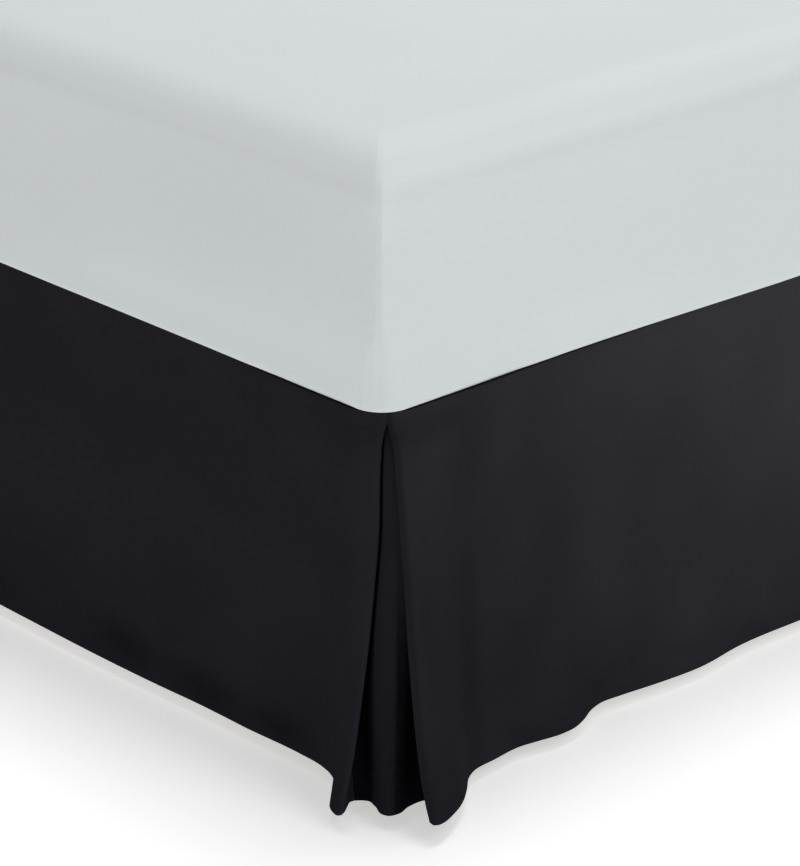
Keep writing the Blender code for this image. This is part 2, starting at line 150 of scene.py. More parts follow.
class Recipe:
    """One material's node tree, built from fields, colours and nodes."""

    def __init__(self, name: str) -> None:
        """Start a material with a bare Principled shader.

        Args:
            name: The material's name.
        """
        self.material = bpy.data.materials.new(name)
        self.material.use_nodes = True
        self.tree = self.material.node_tree
        self.shader = self.tree.nodes["Principled BSDF"]

    def node(self, kind: str, settings: dict | None = None, values: dict | None = None) -> bpy.types.Node:
        """Add a node, set it up, then fill its sockets.

        Args:
            kind: The node's type.
            settings: Its own properties, set before any socket.
            values: For each socket, by name or index, a number, colour, field or socket.

        Returns:
            The new node.
        """
        made = self.tree.nodes.new(kind)
        for name, value in (settings or {}).items():
            setattr(made, name, value)
        for name, value in (values or {}).items():
            self.feed(made.inputs[name], value)
        return made

    def feed(self, socket: bpy.types.NodeSocket, value: object) -> None:
        """Link or set one socket.

        Args:
            socket: The socket to fill.
            value: A field or socket to link, or a plain value to set.
        """
        if isinstance(value, Field):
            value = value.socket
        if isinstance(value, bpy.types.NodeSocket):
            self.tree.links.new(value, socket)
        else:
            socket.default_value = value

    def maths(self, operation: str, *operands: "Field | float") -> Field:
        """One Math node over fields and numbers."""
        made = self.node("ShaderNodeMath", {"operation": operation}, dict(enumerate(operands)))
        return Field(self, made.outputs[0])

    def place(self) -> bpy.types.NodeSocket:
        """The point on the piece, in metres."""
        return self.node("ShaderNodeTexCoord").outputs["Object"]

    def cut(self) -> bpy.types.NodeSocket:
        """The place on the flat cloth: metres along it and above its hem."""
        return self.node("ShaderNodeUVMap", {"uv_map": CLOTH_MAP}).outputs["UV"]

    def marked(self, kind: Mark) -> Field:
        """A number stored on the piece's points."""
        found = self.node("ShaderNodeAttribute", {"attribute_name": kind.value})
        return Field(self, found.outputs["Fac"])

    def parts(self, vector: bpy.types.NodeSocket) -> tuple[Field, Field, Field]:
        """The three numbers of a vector."""
        split = self.node("ShaderNodeSeparateXYZ", values={0: vector})
        return tuple(Field(self, output) for output in split.outputs)

    def mapped(self, vector: bpy.types.NodeSocket, scale: Point) -> bpy.types.NodeSocket:
        """The vector stretched by a scale on each axis."""
        return self.node("ShaderNodeMapping", values={"Vector": vector, "Scale": scale}).outputs[0]

    def noise(self, vector: bpy.types.NodeSocket, scale: float, detail: float = 3.0) -> Field:
        """Soft noise around 0.5, with features about 1 / scale metres wide."""
        made = self.node("ShaderNodeTexNoise", values={"Vector": vector, "Scale": scale, "Detail": detail})
        return Field(self, made.outputs[0])

    def blend(self, share: "Field | float", start: object, end: object) -> bpy.types.NodeSocket:
        """A colour between two others.

        Args:
            share: 0 or less gives start, and 1 or more gives end.
            start: A colour or a colour socket.
            end: A colour or a colour socket.

        Returns:
            The mixed colour's socket.
        """
        ends = [(*tone, 1.0) if isinstance(tone, tuple) else tone for tone in (start, end)]
        made = self.node("ShaderNodeMix", {"data_type": "RGBA"}, {0: share, 6: ends[0], 7: ends[1]})
        return made.outputs[2]

    def relief(self, height: Field, depth: float) -> bpy.types.NodeSocket:
        """A normal for a height field whose full range is depth metres."""
        return self.node("ShaderNodeBump", values={"Height": height, "Distance": depth}).outputs[0]

    def finish(self, **sockets: object) -> bpy.types.Material:
        """Fill the shader's sockets and hand the material over.

        Args:
            sockets: A value, field or socket for each, under its name with underscores for spaces.

        Returns:
            The finished material.
        """
        for name, value in sockets.items():
            if isinstance(value, tuple):
                value = (*value, 1.0)
            self.feed(self.shader.inputs[name.replace("_", " ")], value)
        return self.material


@dataclass(frozen=True)
class StitchRow:
    """A row of lockstitch: a line sunk into the cloth, and the thread that shows along it."""

    pitch: float = 0.0028
    half_width: float = 0.0006
    shown: Range = (0.15, 0.45)

    def line(self, away: Field) -> Field:
        """The sunk line, where it is this far away."""
        return abs(away).rise(self.half_width, 0.0)

    def threads(self, along: Field) -> Field:
        """Where the thread lies on top, at a distance along the row."""
        return along.wave(self.pitch).rise(*self.shown)


@dataclass(frozen=True)
class Microfibre:
    """Brushed black microfibre: a close plain weave with a soft nap and a stitched hem. Light and shade are
    painted into its colour from a mark on each sheet, with painted shade in patches above the hem and a
    painted sheen along pressed creases.
    """

    colour: Colour = (0.0188, 0.0177, 0.0230)
    # Painted light: the colour that the stored mark lightens the cloth towards.
    painted_light_colour: Colour = (0.0585, 0.0560, 0.0640)
    # Real wear and thread, and the painted sheen along pressed creases.
    worn_and_sheen_colour: Colour = (0.0236, 0.0223, 0.0285)
    nap_colour: Colour = (0.0165, 0.0155, 0.0204)
    # Painted shade: the near-black colour that the cloth is darkened towards.
    painted_shade_colour: Colour = (0.0030, 0.0028, 0.0045)
    weave_pitch: float = 0.0006
    slub_scale: float = 420.0
    slub_stretch: float = 0.12
    slub_level: float = 0.7
    slub_wear: float = 0.35
    nap_scale: float = 9.0
    nap_range: Range = (0.35, 0.65)
    # Painted shade in soft patches just above the hem.
    hem_shade_stretch: float = 1.8
    hem_shade_scale: float = 14.0
    hem_shade_range: Range = (0.50, 0.66)
    hem_shade_heights: Range = (0.070, 0.018)
    hem_shade_share: float = 0.15
    # A painted sheen along the pressed creases.
    crease_sheen: float = 0.15
    stitches: StitchRow = StitchRow()
    thread_share: float = 0.5
    relief_depth: float = 0.00006
    weave_relief: float = 0.35
    slub_relief: float = 0.65
    row_relief: float = -2.0
    thread_relief: float = 2.5
    roughness: float = 0.60
    nap_roughness: float = 0.10
    crease_roughness: float = -0.08
    sheen: float = 0.004
    sheen_roughness: float = 0.45
    sheen_tint: Colour = (0.80, 0.85, 1.0)

    def paint(self, name: str) -> bpy.types.Material:
        """Make the material.

        Args:
            name: The material's name.

        Returns:
            The finished material.
        """
        recipe = Recipe(name)
        cut = recipe.cut()
        along, up, _ = recipe.parts(cut)
        weave = along.wave(self.weave_pitch) * up.wave(self.weave_pitch)
        weft = recipe.noise(recipe.mapped(cut, (1.0, self.slub_stretch, 1.0)), self.slub_scale)
        warp = recipe.noise(recipe.mapped(cut, (self.slub_stretch, 1.0, 1.0)), self.slub_scale)
        slub = weft + warp
        nap_and_shading = recipe.noise(cut, self.nap_scale, 4.0)
        # Painted shade in soft patches just above the hem.
        hem_shade_noise = recipe.noise(recipe.mapped(cut, (1.0, self.hem_shade_stretch, 1.0)), self.hem_shade_scale)
        painted_darkening = hem_shade_noise.rise(*self.hem_shade_range) * up.rise(*self.hem_shade_heights)
        row = self.stitches.line(up - HEM_HEIGHT)
        thread = row * self.stitches.threads(along)
        pressed, lifted = recipe.marked(Mark.PRESSED), recipe.marked(Mark.LIFTED)
        tone = recipe.blend(nap_and_shading.rise(*self.nap_range), self.nap_colour, self.colour)
        # The stored mark paints light into the colour where above 0 and shade where below 0.
        tone = recipe.blend(lifted, tone, self.painted_light_colour)
        tone = recipe.blend(lifted * -1.0, tone, self.painted_shade_colour)
        tone = recipe.blend(painted_darkening * self.hem_shade_share, tone, self.painted_shade_colour)
        # Random slubs make real wear; along pressed creases the same lighter colour is a painted sheen.
        wear_and_sheen = (slub - self.slub_level) * self.slub_wear + pressed * self.crease_sheen
        tone = recipe.blend(wear_and_sheen, tone, self.worn_and_sheen_colour)
        tone = recipe.blend(thread * self.thread_share, tone, self.worn_and_sheen_colour)
        height = self.weave_relief * weave + self.slub_relief * slub
        height = height + self.row_relief * row + self.thread_relief * thread
        return recipe.finish(
            Base_Color=tone,
            Roughness=self.roughness + self.nap_roughness * (nap_and_shading - 0.5) + self.crease_roughness * pressed,
            Normal=recipe.relief(height, self.relief_depth),
            Sheen_Weight=self.sheen,
            Sheen_Roughness=self.sheen_roughness,
            Sheen_Tint=self.sheen_tint,
            Specular_IOR_Level=0.0,
        )


@dataclass(frozen=True)
class PlainCloth:
    """A pale woven cloth that follows the piece's place: warp along one axis and weft along the others.

    Where it has a painted light band, it is painted paler round one height. Where it has a corner shade, it
    is painted that much darker on the turn of the piece's corners, as painted shade.
    """

    colour: Colour
    shade: Colour
    pitch: float
    depth: float = 0.00005
    roughness: float = 0.85
    sheen: float = 0.05
    painted_light_band: Colour | None = None
    painted_band_height: float = 0.0
    painted_band_reach: float = 0.0
    corner_shade: float = 0.0
    weft_slant: float = 0.5
    cloud_range: Range = (0.3, 0.7)
    cloud_share: float = 0.6
    weave_share: float = 0.25
    fibre_share: float = 0.25
    relief_share: float = 0.6
    cloud_roughness: float = 0.06
    sheen_roughness: float = 0.5
    specular: float = 0.15

    def paint(self, name: str) -> bpy.types.Material:
        """Make the material.

        Args:
            name: The material's name.

        Returns:
            The finished material.
        """
        recipe = Recipe(name)
        place = recipe.place()
        x, y, z = recipe.parts(place)
        weave = (x + y).wave(self.pitch) * (z + self.weft_slant * (x - y)).wave(self.pitch)
        fibre = recipe.noise(place, FIBRE_SCALE)
        cloudy = recipe.noise(place, CLOUD_SCALE)
        share = self.cloud_share * cloudy.rise(*self.cloud_range) + self.weave_share * weave
        share = share + self.fibre_share * (fibre - 0.5)
        tone = recipe.blend(share, self.colour, self.shade)
        # Painted light: a paler band round one height.
        if self.painted_light_band:
            light_band = abs(z - self.painted_band_height).rise(self.painted_band_reach, 0.0)
            tone = recipe.blend(light_band, tone, self.painted_light_band)
        # Painted shade on the turn of the corners.
        if self.corner_shade:
            turned = recipe.marked(Mark.TURNED)
            tone = recipe.blend(turned * self.corner_shade, tone, (0.0, 0.0, 0.0))
        return recipe.finish(
            Base_Color=tone,
            Roughness=self.roughness + self.cloud_roughness * (cloudy - 0.5),
            Normal=recipe.relief(self.relief_share * weave + self.relief_share * fibre, self.depth),
            Sheen_Weight=self.sheen,
            Sheen_Roughness=self.sheen_roughness,
            Specular_IOR_Level=self.specular,
        )


@dataclass(frozen=True)
class FacedDecking:
    """Plain white decking with a narrow facing of the skirt's cloth along its sewn edges."""

    colour: Colour = (0.74, 0.74, 0.72)
    shade: Colour = (0.68, 0.68, 0.66)
    facing: Colour = (0.0085, 0.0080, 0.0115)
    half_width: float = BED_WIDTH / 2 + DECKING_OVERHANG
    foot_y: float = -BED_LENGTH / 2 - DECKING_OVERHANG
    facing_width: float = 0.020
    facing_edge: float = 0.0004
    stitches: StitchRow = StitchRow()
    stitched_in: float = 0.003
    pitch: float = 0.0012
    cloud_range: Range = (0.3, 0.7)
    cloud_share: float = 0.6
    weave_share: float = 0.25
    depth: float = 0.00006
    relief_share: float = 0.6
    row_relief: float = 1.5
    roughness: float = 0.85
    cloud_roughness: float = 0.06
    specular: float = 0.2

    def paint(self, name: str) -> bpy.types.Material:
        """Make the material.

        Args:
            name: The material's name.

        Returns:
            The finished material.
        """
        recipe = Recipe(name)
        place = recipe.place()
        x, y, _ = recipe.parts(place)
        weave = x.wave(self.pitch) * y.wave(self.pitch)
        fibre = recipe.noise(place, FIBRE_SCALE)
        cloudy = recipe.noise(place, CLOUD_SCALE)
        share = self.cloud_share * cloudy.rise(*self.cloud_range) + self.weave_share * weave
        white = recipe.blend(share, self.colour, self.shade)
        near = recipe.maths("MAXIMUM", abs(x) - self.half_width, self.foot_y - y) + self.facing_width
        faced = near.rise(-self.facing_edge, self.facing_edge)
        row = self.stitches.line(near - self.stitched_in) * self.stitches.threads(x + y)
        height = self.relief_share * weave + self.relief_share * fibre + self.row_relief * row
        return recipe.finish(
            Base_Color=recipe.blend(faced, white, self.facing),
            Roughness=self.roughness + self.cloud_roughness * (cloudy - 0.5),
            Normal=recipe.relief(height, self.depth),
            Specular_IOR_Level=self.specular,
        )


@dataclass(frozen=True)
class SatinBeech:
    """Beech under a satin lacquer, its grain running up the piece."""

    light: Colour = (0.50, 0.30, 0.15)
    dark: Colour = (0.33, 0.18, 0.085)
    grain_scale: float = 160.0
    grain_stretch: float = 0.06
    fleck_scale: float = 620.0
    fleck_stretch: float = 0.18
    fleck_range: Range = (0.62, 0.74)
    fleck_share: float = 0.3
    fleck_relief: float = 0.4
    grain_range: Range = (0.3, 0.7)
    grain_share: float = 0.7
    grain_roughness: float = 0.15
    depth: float = 0.0001
    roughness: float = 0.42
    lacquer: float = 0.2
    lacquer_roughness: float = 0.3

    def paint(self, name: str) -> bpy.types.Material:
        """Make the material.

        Args:
            name: The material's name.

        Returns:
            The finished material.
        """
        recipe = Recipe(name)
        place = recipe.place()
        grain = recipe.noise(recipe.mapped(place, (1.0, 1.0, self.grain_stretch)), self.grain_scale, 4.0)
        flecks = recipe.noise(recipe.mapped(place, (1.0, 1.0, self.fleck_stretch)), self.fleck_scale, 2.0)
        flecks = flecks.rise(*self.fleck_range)
        share = grain.rise(*self.grain_range) * self.grain_share + flecks * self.fleck_share
        return recipe.finish(
            Base_Color=recipe.blend(share, self.light, self.dark),
            Roughness=self.roughness + self.grain_roughness * (grain - 0.5),
            Normal=recipe.relief(grain - self.fleck_relief * flecks, self.depth),
            Coat_Weight=self.lacquer,
            Coat_Roughness=self.lacquer_roughness,
        )


@dataclass(frozen=True)
class StudioPaint:
    """The floor's pale matt paint, bright enough to read as a white sweep."""

    colour: Colour = (0.93, 0.93, 0.93)
    roughness: float = 0.95
    specular: float = 0.1
    glow_colour: Colour = (1.0, 1.0, 1.0)
    glow: float = 0.46

    def paint(self, name: str) -> bpy.types.Material:
        """Make the material.

        Args:
            name: The material's name.

        Returns:
            The finished material.
        """
        return Recipe(name).finish(
            Base_Color=self.colour,
            Roughness=self.roughness,
            Specular_IOR_Level=self.specular,
            Emission_Color=self.glow_colour,
            Emission_Strength=self.glow,
        )


SKIRT_CLOTH = Microfibre()
DECKING_CLOTH = FacedDecking()
# The cover has a band of painted light below its top edge and painted shade on its corners' turn.
COVER_CLOTH = PlainCloth(
    (0.755, 0.793, 0.800),
    (0.735, 0.773, 0.782),
    0.0009,
    painted_light_band=(0.805, 0.845, 0.852),
    painted_band_height=0.613,
    painted_band_reach=0.017,
    corner_shade=0.11,
)
TICKING = PlainCloth((0.64, 0.62, 0.58), (0.58, 0.56, 0.52), 0.0014)
BEECH = SatinBeech()


# ---------------------------------------------------------------------------------------------------------
# Curves and small helpers for modelling
# ---------------------------------------------------------------------------------------------------------


def smoothstep(value: Numbers, start: float, end: float) -> Numbers:
    """Rise from 0 at start to 1 at end with level tangents, also where end is below start."""
    share = np.clip((value - start) / (end - start), 0.0, 1.0)
    return share * share * (3 - 2 * share)


def bell(distance: Numbers, width: float) -> Numbers:
    """A soft hump of height 1 at distance 0 that has died away a few widths off."""
    return np.exp(-((distance / width) ** 2))


def cubic(share: Numbers, start: Numbers, leave: Numbers, end: Numbers, arrive: Numbers) -> Numbers:
    """A cubic from one value to another.

    Args:
        share: How far along it is read, from 0 to 1.
        start: Its value at 0.
        leave: Its slope at 0.
        end: Its value at 1.
        arrive: Its slope at 1.

    Returns:
        Its value at the share.
    """
    square, cube = share**2, share**3
    return (
        (2 * cube - 3 * square + 1) * start
        + (cube - 2 * square + share) * leave
        + (3 * square - 2 * cube) * end
        + (cube - square) * arrive
    )


def steady_curve(places: np.ndarray, values: np.ndarray, at: np.ndarray) -> np.ndarray:
    """A smooth curve through points that never turns back between two of them.

    Args:
        places: Where the points are, rising.
        values: The points' values.
        at: Where the curve is read.

    Returns:
        The curve's values there.
    """
    span = np.diff(places)
    slope = np.diff(values) / span
    tangent = np.empty_like(values)
    tangent[0], tangent[-1] = slope[0], slope[-1]
    product = slope[:-1] * slope[1:]
    weight = (2 * span[1:] + span[:-1], span[1:] + 2 * span[:-1])
    with np.errstate(divide="ignore", invalid="ignore"):
        mean = (weight[0] + weight[1]) / (weight[0] / slope[:-1] + weight[1] / slope[1:])
    tangent[1:-1] = np.where(product > 0, mean, 0.0)
    low = np.clip(np.searchsorted(places, at, side="right") - 1, 0, len(span) - 1)
    share = (at - places[low]) / span[low]
    return cubic(share, values[low], span[low] * tangent[low], values[low + 1], span[low] * tangent[low + 1])


def lengths_along(line: np.ndarray) -> np.ndarray:
    """How far along a line each of its points is, by straight steps."""
    return np.concatenate([[0.0], np.cumsum(np.linalg.norm(np.diff(line, axis=0), axis=1))])


def spread(line: np.ndarray, shares: np.ndarray) -> np.ndarray:
    """The places at these shares of a plan line's length."""
    lengths = lengths_along(line)
    return np.column_stack([np.interp(shares * lengths[-1], lengths, line[:, axis]) for axis in (0, 1)])


class SmoothLine:
    """A smooth plan curve through a few points, read by its length along the chords."""

    def __init__(self, points: Places) -> None:
        """Take the points that the curve passes through.

        Args:
            points: The points in mm.
        """
        self.points = np.array(points, dtype=float) * MM
        self.places = lengths_along(self.points)
        self.slopes = np.gradient(self.points, self.places, axis=0)

    def at(self, place: float) -> np.ndarray:
        """The point at a length along the line, in metres.

        Args:
            place: The length in metres.

        Returns:
            The point, by a cubic between its two neighbours.
        """
        last = len(self.places) - 2
        low = int(np.clip(np.searchsorted(self.places, place, side="right") - 1, 0, last))
        span = self.places[low + 1] - self.places[low]
        share = (place - self.places[low]) / span
        leave, arrive = self.slopes[low] * span, self.slopes[low + 1] * span
        return cubic(share, self.points[low], leave, self.points[low + 1], arrive)


class Ripple:
    """A soft uneven surface: a few slow waves in chance directions, alike on every run."""

    def __init__(self, seed: int, lengths: Range, waves: int = 9) -> None:
        """Draw the waves.

        Args:
            seed: What the chance numbers start from.
            lengths: The shortest and longest wave, in metres.
            waves: How many are laid over each other.
        """
        chance = np.random.default_rng(seed)
        length = chance.uniform(*lengths, waves)
        heading = chance.uniform(0, math.pi, waves)
        self.step = 2 * math.pi / length * np.array([np.cos(heading), np.sin(heading)])
        self.phase = chance.uniform(0, 2 * math.pi, waves)

    def at(self, first: np.ndarray, second: np.ndarray) -> np.ndarray:
        """The height at each pair of places, mostly between -1 and 1."""
        angle = first[..., None] * self.step[0] + second[..., None] * self.step[1] + self.phase
        return np.sin(angle).sum(-1) / math.sqrt(len(self.phase))


def settle(obj: bpy.types.Object) -> bpy.types.Object:
    """Apply an object's modifiers in order and leave it alone selected.

    Args:
        obj: The object.

    Returns:
        The same object.
    """
    bpy.ops.object.select_all(action="DESELECT")
    obj.select_set(True)
    bpy.context.view_layer.objects.active = obj
    for modifier in list(obj.modifiers):
        bpy.ops.object.modifier_apply(modifier=modifier.name)
    return obj


def in_scene(obj: bpy.types.Object) -> bpy.types.Object:
    """Link a new object to the scene and hand it back."""
    bpy.context.scene.collection.objects.link(obj)
    return obj


def new_mesh(name: str, points: np.ndarray, faces: list[tuple[int, ...]]) -> bpy.types.Mesh:
    """A mesh of these points and faces.

    Args:
        name: The mesh's name.
        points: Its points, in any grid of places.
        faces: The numbers of each face's points.

    Returns:
        The new mesh.
    """
    mesh = bpy.data.meshes.new(name)
    mesh.from_pydata(points.reshape(-1, 3).tolist(), [], faces)
    return mesh


def mark(mesh: bpy.types.Mesh, kind: Mark, values: np.ndarray) -> None:
    """Store a number on each of a mesh's points for its material to read."""
    stored = mesh.attributes.new(kind.value, "FLOAT", "POINT").data
    stored.foreach_set("value", values.astype(np.float32).ravel())


def new_piece(name: str, mesh: bpy.types.Mesh, material: bpy.types.Material) -> bpy.types.Object:
    """An object of this mesh in the scene, in one material."""
    mesh.materials.append(material)
    return in_scene(bpy.data.objects.new(name, mesh))


def grid_faces(columns: int, rows: int) -> list[tuple[int, ...]]:
    """The faces of a grid of points that are stored column by column.

    Args:
        columns: How many columns there are.
        rows: How many points a column has.

    Returns:
        The corners of each face, which points to the right of a column that runs down the page.
    """
    faces = []
    for column in range(columns - 1):
        for row in range(rows - 1):
            here, there = column * rows + row, (column + 1) * rows + row
            faces.append((here, here + 1, there + 1, there))
    return faces


def hand_over(obj: bpy.types.Object, slot: str, *nodes: str) -> bpy.types.Object:
    """Let a finished piece ride on the one body and stand for its solids.

    Args:
        obj: The finished piece.
        slot: Not used.
        nodes: The CAD nodes that it stands for.

    Returns:
        The same piece.
    """
    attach(obj, "root")
    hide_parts(*nodes)
    LOG.info("%s: %d faces, stands for %s", obj.name, len(obj.data.polygons), ", ".join(nodes))
    return obj


# ---------------------------------------------------------------------------------------------------------
# The skirt
# ---------------------------------------------------------------------------------------------------------


class Side(Enum):
    """Which long side of the bed, as the sign of its x."""

    RIGHT = 1
    LEFT = -1


class Stretch(Enum):
    """The stretches of cloth at the end of a panel, from the flat run to the seam inside the pleat."""

    FRONT = "front"
    FOLD = "fold"
    RETURN = "return"
    SEAM = "seam"


class Axis(Enum):
    """The way that a panel runs round the bed, as the index of its coordinate."""

    ACROSS = 0
    ALONG = 1


# For each share of the drop, the shares of their swing that the foot flap's and the side flap's creases have
# reached there, and how closely the underlay follows the two flaps.
LEVELS = np.array((
    (0.000, 0.000, 0.000, 0.00),
    (0.030, 0.004, 0.004, 0.50),
    (0.045, 0.035, 0.045, 0.70),
    (0.070, 0.090, 0.130, 0.85),
    (0.150, 0.140, 0.200, 0.95),
    (0.280, 0.160, 0.290, 0.95),
    (0.430, 0.260, 0.400, 0.88),
    (0.580, 0.390, 0.490, 0.62),
    (0.730, 0.560, 0.610, 0.24),
    (0.880, 0.760, 0.770, 0.05),
    (1.000, 1.000, 1.000, 0.00),
))

FlapHem = dict[Stretch, Places]
FOOT_FLAP_HEM: FlapHem = {
    Stretch.FRONT: ((186, 2), (116, 0), (80, 2), (59, 8), (47, 15), (24, 39), (11, 53), (-4, 61)),
    Stretch.FOLD: ((-11, 62.6), (-13, 60.8)),
    Stretch.RETURN: ((-10.8, 57), (-6.6, 51), (0.6, 40.8), (4.4, 34)),
    Stretch.SEAM: ((2.6, 29.6),),
}
SIDE_FLAP_HEM: FlapHem = {
    Stretch.FRONT: (
        (188, 22), (165, 18), (128, 21), (97, 25), (84, 32), (64, 50), (43, 67), (18, 81), (-8, 90),
    ),
    Stretch.FOLD: ((-14, 90), (-17, 87.5)),
    Stretch.RETURN: ((-14, 84.5), (-3, 76), (13, 62)),
    Stretch.SEAM: ((30, 50.5),),
}

# The underlay's hem as x and y in the corner's own plan frame.
UNDERLAY_HEM: Places = (
    (-1, -28), (1.2, -24.3), (6.1, -20), (18, -22), (35, -28.5), (41, -27), (44.2, -17.5), (40, -1),
    (40.8, 15.5), (47.5, 27.5),
)

FOOT_HEM: Places = (
    (186, 2), (261, 3), (320, 6), (380, 8), (445, 9), (583, 7), (700, 4), (820, 8), (940, 3), (1060, 7),
    (1190, 4), (1330, 2),
)
RIGHT_HEM: Places = (
    (188, 22), (211, 26), (232, 25), (252, 18), (272, 8), (292, 3), (316, 5), (366, 11), (421, 14),
    (488, 6), (577, 7), (700, 12), (830, 6), (960, 13), (1100, 5), (1240, 11), (1390, 6), (1540, 12),
    (1690, 5), (1850, 8), (2021, 3),
)
LEFT_HEM: Places = (
    (188, 18), (250, 11), (330, 4), (430, 10), (540, 13), (650, 5), (780, 9), (920, 14), (1060, 6),
    (1210, 4), (1350, 10), (1500, 12), (1660, 5), (1830, 9), (2021, 4),
)


@dataclass(frozen=True)
class ShadePatch:
    """A soft patch of painted shade, or of painted light where its strength is below 0."""

    place: float
    up: float
    half_length: float
    half_height: float
    strength: float = 0.45

    def at(self, place: np.ndarray, up: np.ndarray) -> np.ndarray:
        """How strong the patch is at places along the panel and heights above its hem."""
        along = bell(place - self.place, self.half_length)
        return self.strength * along * bell(up - self.up, self.half_height)


@dataclass(frozen=True)
class PaintedShading:
    """The light and shade painted on one sheet: painted light up it, painted shade on its creases and in a
    pleat, and its patches of painted shade, some of painted light, whose places are read along one axis."""

    # Painted light up the sheet, painted shade on its creases and in a pleat, and patches of painted shade.
    lift: float = 0.0
    painted_darkening: float = 0.0
    pleat_shade: float = 0.0
    shade_patches: tuple[ShadePatch, ...] = ()
    axis: Axis = Axis.ACROSS


# Where light and shade are painted on each kind of sheet.
FOOT_SHADING = PaintedShading(
    shade_patches=(
        ShadePatch(0.617, 0.020, 0.045, 0.016),
        ShadePatch(0.500, 0.023, 0.048, 0.018),
        ShadePatch(0.385, 0.030, 0.042, 0.018),
        ShadePatch(0.130, 0.024, 0.060, 0.015),
        ShadePatch(-0.240, 0.020, 0.050, 0.014),
        ShadePatch(0.745, 0.060, 0.030, 0.050, -0.11),
        ShadePatch(-0.745, 0.060, 0.030, 0.050, -0.11),
    ),
)
SIDE_SHADING = PaintedShading(
    lift=1.0,
    painted_darkening=0.5,
    shade_patches=(
        ShadePatch(-0.915, 0.100, 0.016, 0.120, 0.22),
        ShadePatch(-0.940, 0.220, 0.025, 0.120, 0.07),
        ShadePatch(-0.825, 0.165, 0.075, 0.100, 0.12),
        ShadePatch(-0.900, 0.330, 0.030, 0.050, 0.12),
        ShadePatch(-0.700, 0.050, 0.050, 0.040, 0.08),
        ShadePatch(-0.825, 0.045, 0.050, 0.040, -0.06),
        ShadePatch(-0.990, 0.160, 0.018, 0.080, 0.08),
        ShadePatch(-0.460, 0.050, 0.250, 0.050, -0.08),
    ),
    axis=Axis.ALONG,
)
PLEAT_SHADING = PaintedShading(pleat_shade=0.9)


class Column(NamedTuple):
    """One line down the cloth: its plan places at the top and the hem, its swing at each row, how much of a
    pressed crease it is, how far it is tucked under the decking, what is added to its place at each row,
    and how far its hem is drawn up."""

    top: np.ndarray
    hem: np.ndarray
    swing: np.ndarray
    crease: float = 0.0
    under: float = 1.0
    shift: np.ndarray = np.zeros((1, 2))
    drawn_up: float = 0.0

    def plan(self) -> np.ndarray:
        """The plan place at each row."""
        return self.top + (self.hem - self.top) * self.swing[:, None] + self.shift


